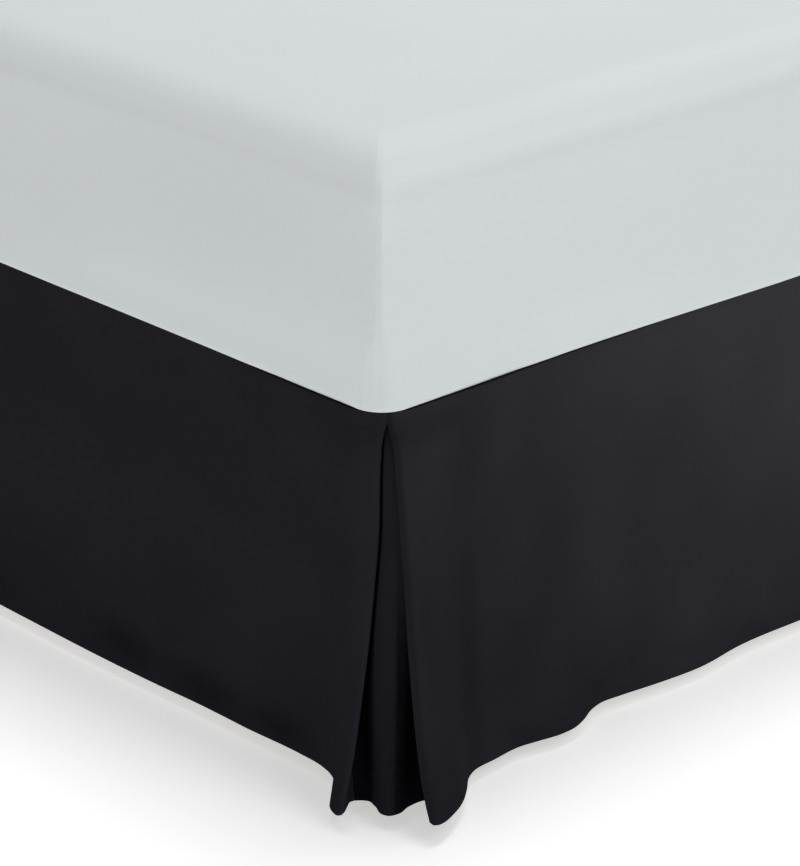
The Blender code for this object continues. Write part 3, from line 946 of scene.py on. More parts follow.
@dataclass(frozen=True)
class Drop:
    """The sizes that all the hanging pieces share."""

    solid_cloth: float = 0.0012
    top_height: float = 0.3945
    height: float = 0.381
    swing_rise: float = 0.25
    edge_clearance: float = 0.002
    fold_gap: float = 0.00005
    tucked_by: float = 0.0014
    tucked_to: float = 0.03
    sewn_shut: Range = (0.040, 0.018)
    sewn_pull: float = 0.0013
    sewn_reach: float = 0.012
    crease_width: float = 0.003
    foot_tip: float = 0.0012
    side_tip: float = 0.0042
    front_tip_share: float = 0.3
    tip_from: float = 0.950
    layer_gap: float = 0.0009
    fold_radius: float = 0.0012
    layered_to: float = 0.110
    single_from: float = 0.240
    meeting_angle: float = math.radians(53)
    foot_return: float = 0.060
    side_return: float = 0.075
    crease_reach: Range = (0.060, 0.150)
    return_reach: Range = (0.15, 1.0)
    seam_reach: Range = (0.25, 0.0)
    follow_gap: Range = (0.0021, 0.0035)
    follow_full_gap_at: float = 0.30
    follow_steps: int = 180
    follow_passes: int = 36
    follow_from_seam: Range = (0.04, 0.22)
    notch_depth: float = 0.0085
    notch_share: float = 0.70
    notch_start: Range = (-0.016, -0.006)
    notch_end: Range = (0.0036, 0.0006)
    far_corner_swing: float = 0.86
    cloth: float = 0.0008
    hem_cloth: float = 0.0014
    body_rows: int = 40
    hem_rows: tuple[float, ...] = (
        0.0, 0.0015, 0.005, 0.010, 0.015, 0.020, 0.0235, 0.0246, 0.0254, 0.0270, 0.0310,
    )
    front_columns: int = 44
    front_crowding: float = 1.35
    fold_columns: int = 10
    return_columns: int = 22
    underlay_columns: int = 150
    run_columns: int = 7

    @property
    def line_out(self) -> float:
        """How far the cloth's middle hangs off the box spring."""
        return self.edge_clearance + self.solid_cloth / 2

    @property
    def radius(self) -> float:
        """The plan radius of the line that the cloth hangs on, at a corner."""
        return BED_CORNER_RADIUS + self.line_out

    @property
    def corner(self) -> tuple[float, float]:
        """Where the foot's line and the +X side's line would cross if the corner were square."""
        return BED_WIDTH / 2 + self.line_out, -BED_LENGTH / 2 - self.line_out

    @property
    def return_layer(self) -> float:
        """How far the turned-back cloth lies outside the underlay."""
        return self.solid_cloth + self.layer_gap

    @property
    def flap_layer(self) -> float:
        """How far the cloth that shows lies outside the underlay."""
        return self.return_layer + 2 * self.fold_radius

    @property
    def fold_half(self) -> float:
        """From the middle of a fold to the line where the two folds meet."""
        return self.fold_radius + self.solid_cloth / 2 + self.fold_gap

    def downs(self) -> np.ndarray:
        """The rows as shares of the drop: even ones above and close ones at the hem."""
        top = np.linspace(0.0, 1.0 - self.hem_rows[-1] / self.height, self.body_rows, endpoint=False)
        return np.concatenate([top, 1.0 - np.array(self.hem_rows[::-1]) / self.height])

    def swing_scale(self, side: Side) -> float:
        """How much of the table's swing a corner has."""
        return 1.0 if side is Side.RIGHT else self.far_corner_swing

    def along_side(self, distance: float, layer: float) -> np.ndarray:
        """A plan place on a layer, from where a side's straight run meets the corner's arc.

        Args:
            distance: Metres along the layer, positive on the straight run and negative on the arc.
            layer: Metres outside the line that the underlay hangs on.

        Returns:
            The place along the side and out from it.
        """
        if distance >= 0:
            return np.array([self.radius + distance, layer])
        radius = self.radius + layer
        angle = -distance / radius
        return np.array([self.radius - radius * math.sin(angle), radius * math.cos(angle) - self.radius])

    def sinking(self, along: float) -> float:
        """The layer of the cloth that shows, which sinks to the underlay's line away from the pleat."""
        return self.flap_layer * float(smoothstep(along, self.single_from, self.layered_to))


@dataclass
class Swings:
    """How far each kind of line down the cloth has swung out, as a share of its swing at the hem, at rows
    that are shares of the drop."""

    downs: np.ndarray
    flat_power: float = 2.5
    seam_power: float = 2.0
    ridge_power: float = 1.9

    def __post_init__(self) -> None:
        """Read the levels at these rows."""
        down, *shares = LEVELS.T
        curves = [steady_curve(down, share, self.downs) for share in shares]
        self.foot_crease, self.side_crease, self.follow = curves
        self.flat = self.downs**self.flat_power
        self.seam = self.downs**self.seam_power
        self.ridge = self.downs**self.ridge_power


@dataclass
class Flap:
    """One end of a panel at the pleat: the front, the fold at its crease and the turned-back return.

    The crease lies at an angle round the corner's arc from this side and swings out by a share at each row.
    The turned-back cloth has a width. The tip is how far the hem is drawn up at the crease, and the scale is
    how much of the table's swing this corner has.
    """

    drop: Drop
    swings: Swings
    hem: FlapHem
    angle: float
    width: float
    crease: np.ndarray
    tip: float
    scale: float

    def __post_init__(self) -> None:
        """Lay out the hem's line and find where each of its stretches starts and ends."""
        self.line = SmoothLine(tuple(place for places in self.hem.values() for place in places))
        firsts = np.cumsum([0, *(len(places) for places in self.hem.values())])[:-1]
        starts = self.line.places[firsts]
        self.spans = dict(zip(self.hem, zip(starts, starts[1:])))
        self.straight = self.line.points[0, 0] - self.drop.radius

    def arc(self, layer: float) -> float:
        """The length of a layer from the crease to the end of the corner's arc."""
        return (self.drop.radius + layer) * self.angle - self.drop.fold_half

    def front_top(self, distance: float) -> np.ndarray:
        """The front's top.

        Args:
            distance: How far it is from the crease along the cloth.

        Returns:
            Its place in the side's (along, out) frame.
        """
        layer = self.drop.flap_layer
        place = self.drop.along_side(distance - self.arc(layer), layer)
        if distance > self.arc(layer):
            place[1] = self.drop.sinking(place[0])
        return place

    def return_top(self, distance: float) -> np.ndarray:
        """The turned-back cloth's top at a distance from the crease."""
        layer = self.drop.return_layer
        return self.drop.along_side(distance - self.arc(layer), layer)

    def seam_straight(self) -> float:
        """How far past the corner's arc the seam inside the pleat lies."""
        return self.return_top(self.width)[0] - self.drop.radius

    def fold_top(self, share: float) -> np.ndarray:
        """The top of the half turn at the crease.

        Args:
            share: How far round it is, from the front layer to the return layer.

        Returns:
            Its place in the side's (along, out) frame.
        """
        before, after = self.front_top(0.0), self.return_top(0.0)
        middle, arm = (before + after) / 2, (before - after) / 2
        forward = np.array([-arm[1], arm[0]])
        return middle + math.cos(math.pi * share) * arm + math.sin(math.pi * share) * forward

    def column(
        self,
        top: np.ndarray,
        stretch: Stretch,
        share: float,
        swing: np.ndarray,
        distance: float,
        under: float,
    ) -> Column:
        """A column whose hem lies on one stretch of the hem's line.

        Args:
            top: The column's top.
            stretch: The stretch.
            share: How far along that stretch the hem is.
            swing: The column's swing at each row.
            distance: How far it is from the crease along the cloth.
            under: How far it is tucked under the decking, from 0 to 1.

        Returns:
            The column in the side's (along, out) frame.
        """
        drop = self.drop
        start, end = self.spans[stretch]
        hem = self.line.at(start + (end - start) * share)
        forward = self.front_top(0.0) - self.front_top(2 * MM)
        pull = drop.sewn_pull * float(smoothstep(distance, drop.sewn_reach, 0.0))
        shut = smoothstep(self.swings.downs, *drop.sewn_shut)
        shift = pull * shut[:, None] * forward / np.linalg.norm(forward)
        crease = float(bell(distance, drop.crease_width))
        tucked = drop.front_tip_share + (1 - drop.front_tip_share) * float(smoothstep(under, 0.0, 0.5))
        hem = top + (hem - top) * self.scale
        return Column(top, hem, swing, crease, under, shift, drawn_up=self.tip * crease * tucked)

    def columns(self) -> list[Column]:
        """Set the columns out from the flat run to the seam inside the pleat.

        Returns:
            The columns in the side's (along, out) frame.
        """
        drop, found = self.drop, []
        length = self.arc(drop.flap_layer) + self.straight
        for index in range(drop.front_columns):
            share = 1 - (1 - index / drop.front_columns) ** drop.front_crowding
            distance = length * (1 - share)
            near = smoothstep(distance, drop.crease_reach[1], drop.crease_reach[0])
            swing = near * self.crease + (1 - near) * self.swings.flat
            found.append(self.column(self.front_top(distance), Stretch.FRONT, share, swing, distance, 0.0))
        for index in range(drop.fold_columns):
            share = index / drop.fold_columns
            found.append(self.column(self.fold_top(share), Stretch.FOLD, share, self.crease, 0.0, share))
        for index in range(drop.return_columns + 1):
            share = index / drop.return_columns
            distance = self.width * share
            inner = smoothstep(share, *drop.return_reach)
            swing = inner * self.swings.seam + (1 - inner) * self.crease
            found.append(self.column(self.return_top(distance), Stretch.RETURN, share, swing, distance, 1.0))
        return found


@dataclass
class Panel:
    """A hanging sheet made of columns, listed anticlockwise round the bed seen from above."""

    name: str
    node: str
    columns: list[Column]
    seed: int
    nap_and_shading: PaintedShading
    drop: Drop
    unevenness: float = 0.0006
    uneven_lengths: Range = (0.16, 0.50)
    uneven_upwards: float = 0.45
    hang_from: Range = (0.375, 0.300)
    puckers: float = 0.0003
    pucker_lengths: Range = (0.030, 0.075)
    pucker_upwards: float = 0.25
    pucker_height: float = 0.030
    pucker_reach: float = 0.022
    hem_pull: float = 0.00022
    hem_pull_reach: float = 0.006
    calm_share: float = 0.15
    calm_reach: Range = (0.10, 0.22)
    # From here the fields set the light and shade painted into the cloth's colour: painted light up the
    # sheet and away from the foot, and painted shade where the cloth faces up, towards the hem and inside
    # the pleats beside their ridge.
    least_painted_light_along: float = 0.18
    least_painted_light_up: float = 0.15
    painted_light_along_reach: Range = (-0.10, 1.05)
    patchiness: float = 0.035
    patch_lengths: Range = (0.09, 0.26)
    painted_shade_facing_up: float = 0.06
    facing_up_rise: Range = (0.08, 0.30)
    painted_shade_at_hem: float = 0.13
    ridge: float = -0.2465
    ridge_reach: Range = (0.012, 0.018)
    wall_heights: Range = (0.75, 0.35)
    deep_heights: Range = (0.60, 0.25)
    pleat_shade_shares: tuple[float, float, float] = (0.20, 0.16, 0.64)

    def surface(self) -> tuple[np.ndarray, np.ndarray]:
        """Loft the columns.

        Returns:
            The points, and the place of each on the flat cloth as metres along it and above its hem.
        """
        drop, downs = self.drop, self.drop.downs()
        points, heights = [], []
        for column in self.columns:
            swing = column.hem - column.top
            fall = drop.height - drop.swing_rise * float(swing @ swing) / drop.height
            tuck = drop.tucked_by * column.under * smoothstep(downs, drop.tucked_to, 0.0)
            drawn_up = column.drawn_up * smoothstep(downs, drop.tip_from, 1.0)
            points.append(np.column_stack([column.plan(), drop.top_height - fall * downs - tuck + drawn_up]))
            heights.append(fall * (1 - downs))
        points, heights = np.array(points), np.array(heights)
        steps = np.linalg.norm(np.diff(points, axis=0), axis=2).mean(axis=1)
        along = np.concatenate([[0.0], np.cumsum(steps)])
        return points, np.stack([np.broadcast_to(along[:, None], heights.shape), heights], axis=-1)

    def facing(self, points: np.ndarray) -> np.ndarray:
        """The direction that the cloth's right side faces at each of its lofted points."""
        normal = np.cross(np.gradient(points, axis=1), np.gradient(points, axis=0))
        return normal / np.linalg.norm(normal, axis=2, keepdims=True)

    def freedom(self, points: np.ndarray) -> np.ndarray:
        """How free the cloth is to be uneven: little where its layers lie close together at a pleat.

        Args:
            points: The lofted points.

        Returns:
            For each point a share from little to 1.
        """
        corner_x, corner_y = self.drop.corner
        distance = np.hypot(np.abs(points[..., 0]) - corner_x, points[..., 1] - corner_y)
        return self.calm_share + (1 - self.calm_share) * smoothstep(distance, *self.calm_reach)

    def ruffled(self, points: np.ndarray, cut: np.ndarray) -> np.ndarray:
        """Move the points out to the cloth's right side, a little unevenly and with puckers at the hem.

        Args:
            points: The lofted points, in the middle of the solid's cloth.
            cut: Their places on the flat cloth.

        Returns:
            The moved points.
        """
        along, up = cut[..., 0], cut[..., 1]
        slow = Ripple(self.seed, self.uneven_lengths).at(along, self.uneven_upwards * up)
        quick = Ripple(self.seed + 1, self.pucker_lengths).at(along, self.pucker_upwards * up)
        hang = smoothstep(up, *self.hang_from)
        puckered = bell(up - self.pucker_height, self.pucker_reach)
        move = self.freedom(points) * (self.unevenness * slow * hang + self.puckers * quick * puckered)
        move += self.drop.solid_cloth / 2 - self.hem_pull * bell(up - HEM_HEIGHT, self.hem_pull_reach)
        return points + self.facing(points) * move[..., None]

    def lifted(self, points: np.ndarray, cut: np.ndarray) -> np.ndarray:
        """How much painted light the cloth's colour has: more towards the top and away from the foot, in
        soft uneven patches, and painted shade where the cloth flares out at the hem, on its creases, towards
        the hem, in a pleat and in set patches.

        Args:
            points: The cloth's points.
            cut: Their places on the flat cloth.

        Returns:
            For each point a number up to 1 for painted light, below 0 for painted shade.
        """
        nap_and_shading, height = self.nap_and_shading, cut[..., 1] / self.drop.height
        # Painted light: lighter towards the top and away from the foot corner, in soft uneven patches.
        along = smoothstep(points[..., 1] - self.drop.corner[1], *self.painted_light_along_reach)
        patches = self.patchiness * Ripple(self.seed + 5, self.patch_lengths).at(cut[..., 0], cut[..., 1])
        painted_light_share = self.least_painted_light_along + (1 - self.least_painted_light_along) * along
        painted_light_share = painted_light_share * (self.least_painted_light_up + (1 - self.least_painted_light_up) * height)
        painted_light_share = nap_and_shading.lift * np.clip(painted_light_share + patches, 0.0, 1.0)
        # Painted shade where the cloth faces up as it flares out at the hem.
        flat = self.painted_shade_facing_up * smoothstep(self.facing(points)[..., 2], *self.facing_up_rise)
        # Painted shade along the pressed creases.
        flat += nap_and_shading.painted_darkening * np.array([column.crease for column in self.columns])[:, None]
        # Painted shade, darker towards the hem on sheets without painted light.
        flat += self.painted_shade_at_hem * (1 - nap_and_shading.lift) * (1 - height) ** 2
        # Painted shade inside a pleat: all over, more deep down and on the walls beside its ridge.
        off_ridge = abs(abs(points[..., 0]) + points[..., 1] - self.ridge)
        walls = smoothstep(off_ridge, *self.ridge_reach) * smoothstep(height, *self.wall_heights)
        everywhere, deep, on_walls = self.pleat_shade_shares
        flat += nap_and_shading.pleat_shade * (everywhere + deep * smoothstep(height, *self.deep_heights) + on_walls * walls)
        # Patches of painted shade, and of painted light where their strength is below 0.
        for shade_patch in nap_and_shading.shade_patches:
            flat += shade_patch.at(points[..., nap_and_shading.axis.value], cut[..., 1])
        return painted_light_share - flat

    def build(self, finish: Microfibre, hung_from: str) -> bpy.types.Object:
        """Make the sheet, thicken it and hand it over.

        Args:
            finish: The cloth.
            hung_from: Not used.

        Returns:
            The finished sheet.
        """
        points, cut = self.surface()
        points = self.ruffled(points, cut)
        columns, rows = points.shape[:2]
        mesh = new_mesh(self.name, points, grid_faces(columns, rows))
        corners = np.empty(len(mesh.loops), np.int32)
        mesh.loops.foreach_get("vertex_index", corners)
        layer = mesh.uv_layers.new(name=CLOTH_MAP)
        layer.uv.foreach_set("vector", cut.reshape(-1, 2)[corners].astype(np.float32).ravel())
        mark(mesh, Mark.PRESSED, np.repeat([column.crease for column in self.columns], rows))
        # Store the light and shade painted into the cloth's colour.
        mark(mesh, Mark.LIFTED, self.lifted(points, cut))
        mesh.shade_smooth()
        obj = new_piece(self.name, mesh, finish.paint(self.name))
        hem = np.flatnonzero(cut[..., 1].ravel() < HEM_HEIGHT)
        obj.vertex_groups.new(name=HEM_GROUP).add(hem.tolist(), 1.0, "REPLACE")
        self.thicken(obj)
        hand_over(obj, f"{self.node}_cloth", self.node)
        return obj

    def thicken(self, obj: bpy.types.Object) -> None:
        """Give the sheet its thickness, more in the turned hem, and soften its cut edges.

        Args:
            obj: The sheet, whose turned hem is a vertex group.
        """
        solid = obj.modifiers.new("Thickness", "SOLIDIFY")
        solid.thickness = self.drop.hem_cloth
        solid.offset = -1.0
        solid.use_even_offset = True
        solid.vertex_group = HEM_GROUP
        solid.thickness_vertex_group = self.drop.cloth / self.drop.hem_cloth
        edge = obj.modifiers.new("Edge", "BEVEL")
        edge.width = self.drop.cloth / 4
        edge.segments = 2
        edge.limit_method = "ANGLE"
        edge.angle_limit = math.radians(60)
        settle(obj)


@dataclass
class BedSkirt:
    """The five hanging sheets and the decking that they are sewn to."""

    drop: Drop = field(default_factory=Drop)
    finish: Microfibre = SKIRT_CLOTH
    decking_name: str = "decking_sheet"
    decking_inset: float = 0.0006
    decking_height: float = 0.3933

    def __post_init__(self) -> None:
        """Work out the swings at this skirt's rows."""
        self.swings = Swings(self.drop.downs())

    def foot_flap(self, side: Side) -> Flap:
        """The foot panel's end at one corner.

        Args:
            side: Which corner.

        Returns:
            The flap, in the foot's own frame.
        """
        drop = self.drop
        return Flap(
            drop,
            self.swings,
            FOOT_FLAP_HEM,
            angle=drop.meeting_angle,
            width=drop.foot_return,
            crease=self.swings.foot_crease,
            tip=drop.foot_tip,
            scale=drop.swing_scale(side),
        )

    def side_flap(self, side: Side) -> Flap:
        """A side panel's end at its corner.

        Args:
            side: Which side of the bed.

        Returns:
            The flap, in that side's own frame.
        """
        drop = self.drop
        return Flap(
            drop,
            self.swings,
            SIDE_FLAP_HEM,
            angle=math.pi / 2 - drop.meeting_angle,
            width=drop.side_return,
            crease=self.swings.side_crease,
            tip=drop.side_tip,
            scale=drop.swing_scale(side),
        )

    def from_foot(self, column: Column, side: Side) -> Column:
        """Turn a column's places on the foot into plan places on the bed.

        Args:
            column: A column in the foot's (along, out) frame.
            side: Which corner it is measured from.

        Returns:
            The same column on the bed.
        """
        x, y = self.drop.corner
        top, hem = (np.array([side.value * (x - along), y - out]) for along, out in (column.top, column.hem))
        return column._replace(top=top, hem=hem, shift=column.shift * np.array([-side.value, -1.0]))

    def from_side(self, column: Column, side: Side) -> Column:
        """Turn a column's places on a long side into plan places on the bed.

        Args:
            column: A column in the side's (along, out) frame.
            side: Which side.

        Returns:
            The same column on the bed.
        """
        x, y = self.drop.corner
        top, hem = (np.array([side.value * (x + out), y + along]) for along, out in (column.top, column.hem))
        return column._replace(top=top, hem=hem, shift=column.shift[:, ::-1] * np.array([side.value, 1.0]))

    def foot_end(self, side: Side) -> list[Column]:
        """The foot flap's columns on the bed, from the flat run to the seam."""
        return [self.from_foot(column, side) for column in self.foot_flap(side).columns()]

    def side_end(self, side: Side) -> list[Column]:
        """The side flap's columns on the bed, from the flat run to the seam."""
        return [self.from_side(column, side) for column in self.side_flap(side).columns()]

    def flat_run(self, hem: Places, start: float, end: float) -> list[Column]:
        """Columns of a flat run, past its first place.

        Args:
            hem: The run's hem.
            start: The share of its swing at the near end.
            end: The share of its swing at the far end.

        Returns:
            The columns in the side's (along, out) frame.
        """
        line = SmoothLine(hem)
        steps = np.arange(1, self.drop.run_columns * (len(hem) - 1) + 1) / self.drop.run_columns
        found = []
        for place in np.interp(steps, np.arange(len(hem)), line.places):
            along, out = line.at(place)
            out *= start + (end - start) * place / line.places[-1]
            top = np.array([along, self.drop.sinking(along)])
            found.append(Column(top, np.array([along, out]), self.swings.flat, under=0.0))
        return found

    def foot_columns(self) -> list[Column]:
        """The foot panel from the seam inside one pleat to the seam inside the other.

        Returns:
            Its columns, from the -X corner to the +X corner.
        """
        scales = [self.drop.swing_scale(side) for side in (Side.RIGHT, Side.LEFT)]
        middle = [self.from_foot(column, Side.RIGHT) for column in self.flat_run(FOOT_HEM, *scales)[:-1]]
        return self.foot_end(Side.LEFT)[::-1] + middle[::-1] + self.foot_end(Side.RIGHT)

    def side_columns(self, side: Side) -> list[Column]:
        """A long side's panel between the seam inside its pleat and the head end of the bed.

        Args:
            side: Which side.

        Returns:
            Its columns, anticlockwise round the bed.
        """
        hem = RIGHT_HEM if side is Side.RIGHT else LEFT_HEM
        run = self.flat_run(hem, self.drop.swing_scale(side), 1.0)
        found = self.side_end(side)[::-1] + [self.from_side(column, side) for column in run]
        return found if side is Side.RIGHT else found[::-1]

    def behind_flaps(self, side: Side, shares: np.ndarray) -> np.ndarray:
        """Plan lines just behind the two turned-back cloths and straight across between them.

        Args:
            side: Which corner.
            shares: The wanted places, as shares of each line's length from the foot's seam.

        Returns:
            For each share, its plan place at each row.
        """
        drop, count = self.drop, self.drop.return_columns + 1
        foot = [column.plan() for column in self.foot_end(side)]
        along = [column.plan() for column in self.side_end(side)]
        layers = np.stack(foot[: -count - 1 : -1] + along[-count:], axis=1)
        x, y = drop.corner
        middle = np.array([side.value * (x - drop.radius), y + drop.radius])
        found = []
        for down, layer in zip(self.swings.downs, layers):
            line = spread(layer, np.linspace(0.0, 1.0, drop.follow_steps + 1))
            for _ in range(drop.follow_passes):
                line[1:-1] = (line[:-2] + 2 * line[1:-1] + line[2:]) / 4
            heading = np.gradient(line, axis=0)
            heading /= np.linalg.norm(heading, axis=1, keepdims=True)
            inward = side.value * np.column_stack([-heading[:, 1], heading[:, 0]])
            steps = np.linalg.norm(np.diff(layer, axis=0), axis=1)
            past = np.linspace(0.0, 1.0, len(line)) * steps.sum() - steps[: count - 1].sum()
            room = max(np.linalg.norm(layer[count - 1] - middle) - drop.radius, 0.0)
            notch = smoothstep(past, *drop.notch_start) * smoothstep(past, *drop.notch_end)
            gap = np.interp(down, (0.0, drop.follow_full_gap_at), drop.follow_gap)
            gap += notch * min(drop.notch_depth, drop.notch_share * room)
            found.append(spread(line + gap[:, None] * inward, shares))
        return np.stack(found, axis=1)

    def underlay_tops(self, side: Side, shares: np.ndarray) -> list[np.ndarray]:
        """The top of the underlay, round the corner.

        Args:
            side: Which corner.
            shares: The wanted places, as shares of its length from the foot's seam.

        Returns:
            For each share, its place in the corner's plan frame.
        """
        foot_straight = self.foot_flap(side).seam_straight()
        side_straight = self.side_flap(side).seam_straight()
        arc = self.drop.radius * math.pi / 2
        found = []
        for distance in (foot_straight + arc + side_straight) * shares:
            if distance < foot_straight + arc / 2:
                along, out = self.drop.along_side(foot_straight - distance, 0.0)
                found.append(np.array([-along, -out]))
            else:
                along, out = self.drop.along_side(distance - foot_straight - arc, 0.0)
                found.append(np.array([out, along]))
        return found

    def underlay_columns(self, side: Side) -> list[Column]:
        """The piece behind the two flaps of one corner, from seam to seam.

        Args:
            side: Which corner.

        Returns:
            Its columns, anticlockwise round the bed.
        """
        drop = self.drop
        x, y = drop.corner
        line = SmoothLine(UNDERLAY_HEM)
        shares = np.linspace(0.0, 1.0, drop.underlay_columns + 1)
        tops, lines_behind = self.underlay_tops(side, shares), self.behind_flaps(side, shares)
        found = [self.foot_end(side)[-1]]
        for share, top, behind in zip(shares, tops, lines_behind):
            hem = top + (line.at(line.places[-1] * share) - top) * drop.swing_scale(side)
            from_seam = min(share, 1 - share)
            at_seam = smoothstep(from_seam, *drop.seam_reach)
            swing = at_seam * self.swings.seam + (1 - at_seam) * self.swings.ridge
            ends = [np.array([side.value * (x + place[0]), y + place[1]]) for place in (top, hem)]
            free = Column(ends[0], ends[1], swing)
            follow = (self.swings.follow * smoothstep(from_seam, *drop.follow_from_seam))[:, None]
            found.append(free._replace(shift=follow * (behind - free.plan())))
        found.append(self.side_end(side)[-1])
        return found if side is Side.RIGHT else found[::-1]

    def decking(self) -> bpy.types.Object:
        """Make the decking, a flat sheet over the box spring with rounded foot corners.

        Returns:
            The finished decking.
        """
        half = Vector((BED_WIDTH / 2 + DECKING_OVERHANG, BED_LENGTH / 2 + DECKING_OVERHANG))
        sides = (self.foot_columns(), self.side_columns(Side.RIGHT), self.side_columns(Side.LEFT))
        edge = np.array([column.top for columns in sides for column in columns if column.under == 0.0])
        inner = np.maximum(np.abs(edge) - np.array(half) + BED_CORNER_RADIUS, 0.0)
        inner /= np.linalg.norm(inner, axis=1, keepdims=True)
        edge -= inner * np.sign(edge) * self.decking_inset
        edge[:, 1] = np.minimum(edge[:, 1], half.y)
        points = np.column_stack([edge, np.full(len(edge), self.decking_height)])
        mesh = new_mesh(self.decking_name, points, [tuple(range(len(points)))])
        obj = new_piece(self.decking_name, mesh, DECKING_CLOTH.paint(self.decking_name))
        solid = obj.modifiers.new("Thickness", "SOLIDIFY")
        solid.thickness = self.drop.solid_cloth
        solid.offset = 1.0
        settle(obj)
        hand_over(obj, "decking_cloth", "skirt_platform")
        return obj

    def build(self) -> None:
        """Make every sheet of the skirt."""
        self.decking()
        sheets = (
            ("foot", "foot_panel", self.foot_columns(), 11, FOOT_SHADING),
            ("right_side", "side_panel_right", self.side_columns(Side.RIGHT), 23, SIDE_SHADING),
            ("left_side", "side_panel_left", self.side_columns(Side.LEFT), 37, SIDE_SHADING),
            ("right_pleat", "pleat_underlay_right", self.underlay_columns(Side.RIGHT), 41, PLEAT_SHADING),
            ("left_pleat", "pleat_underlay_left", self.underlay_columns(Side.LEFT), 53, PLEAT_SHADING),
        )
        for name, node, columns, seed, nap_and_shading in sheets:
            panel = Panel(f"{name}_sheet", node, columns, seed, nap_and_shading, self.drop)
            panel.build(self.finish, self.decking_name)


# ---------------------------------------------------------------------------------------------------------
# The bed
# ---------------------------------------------------------------------------------------------------------


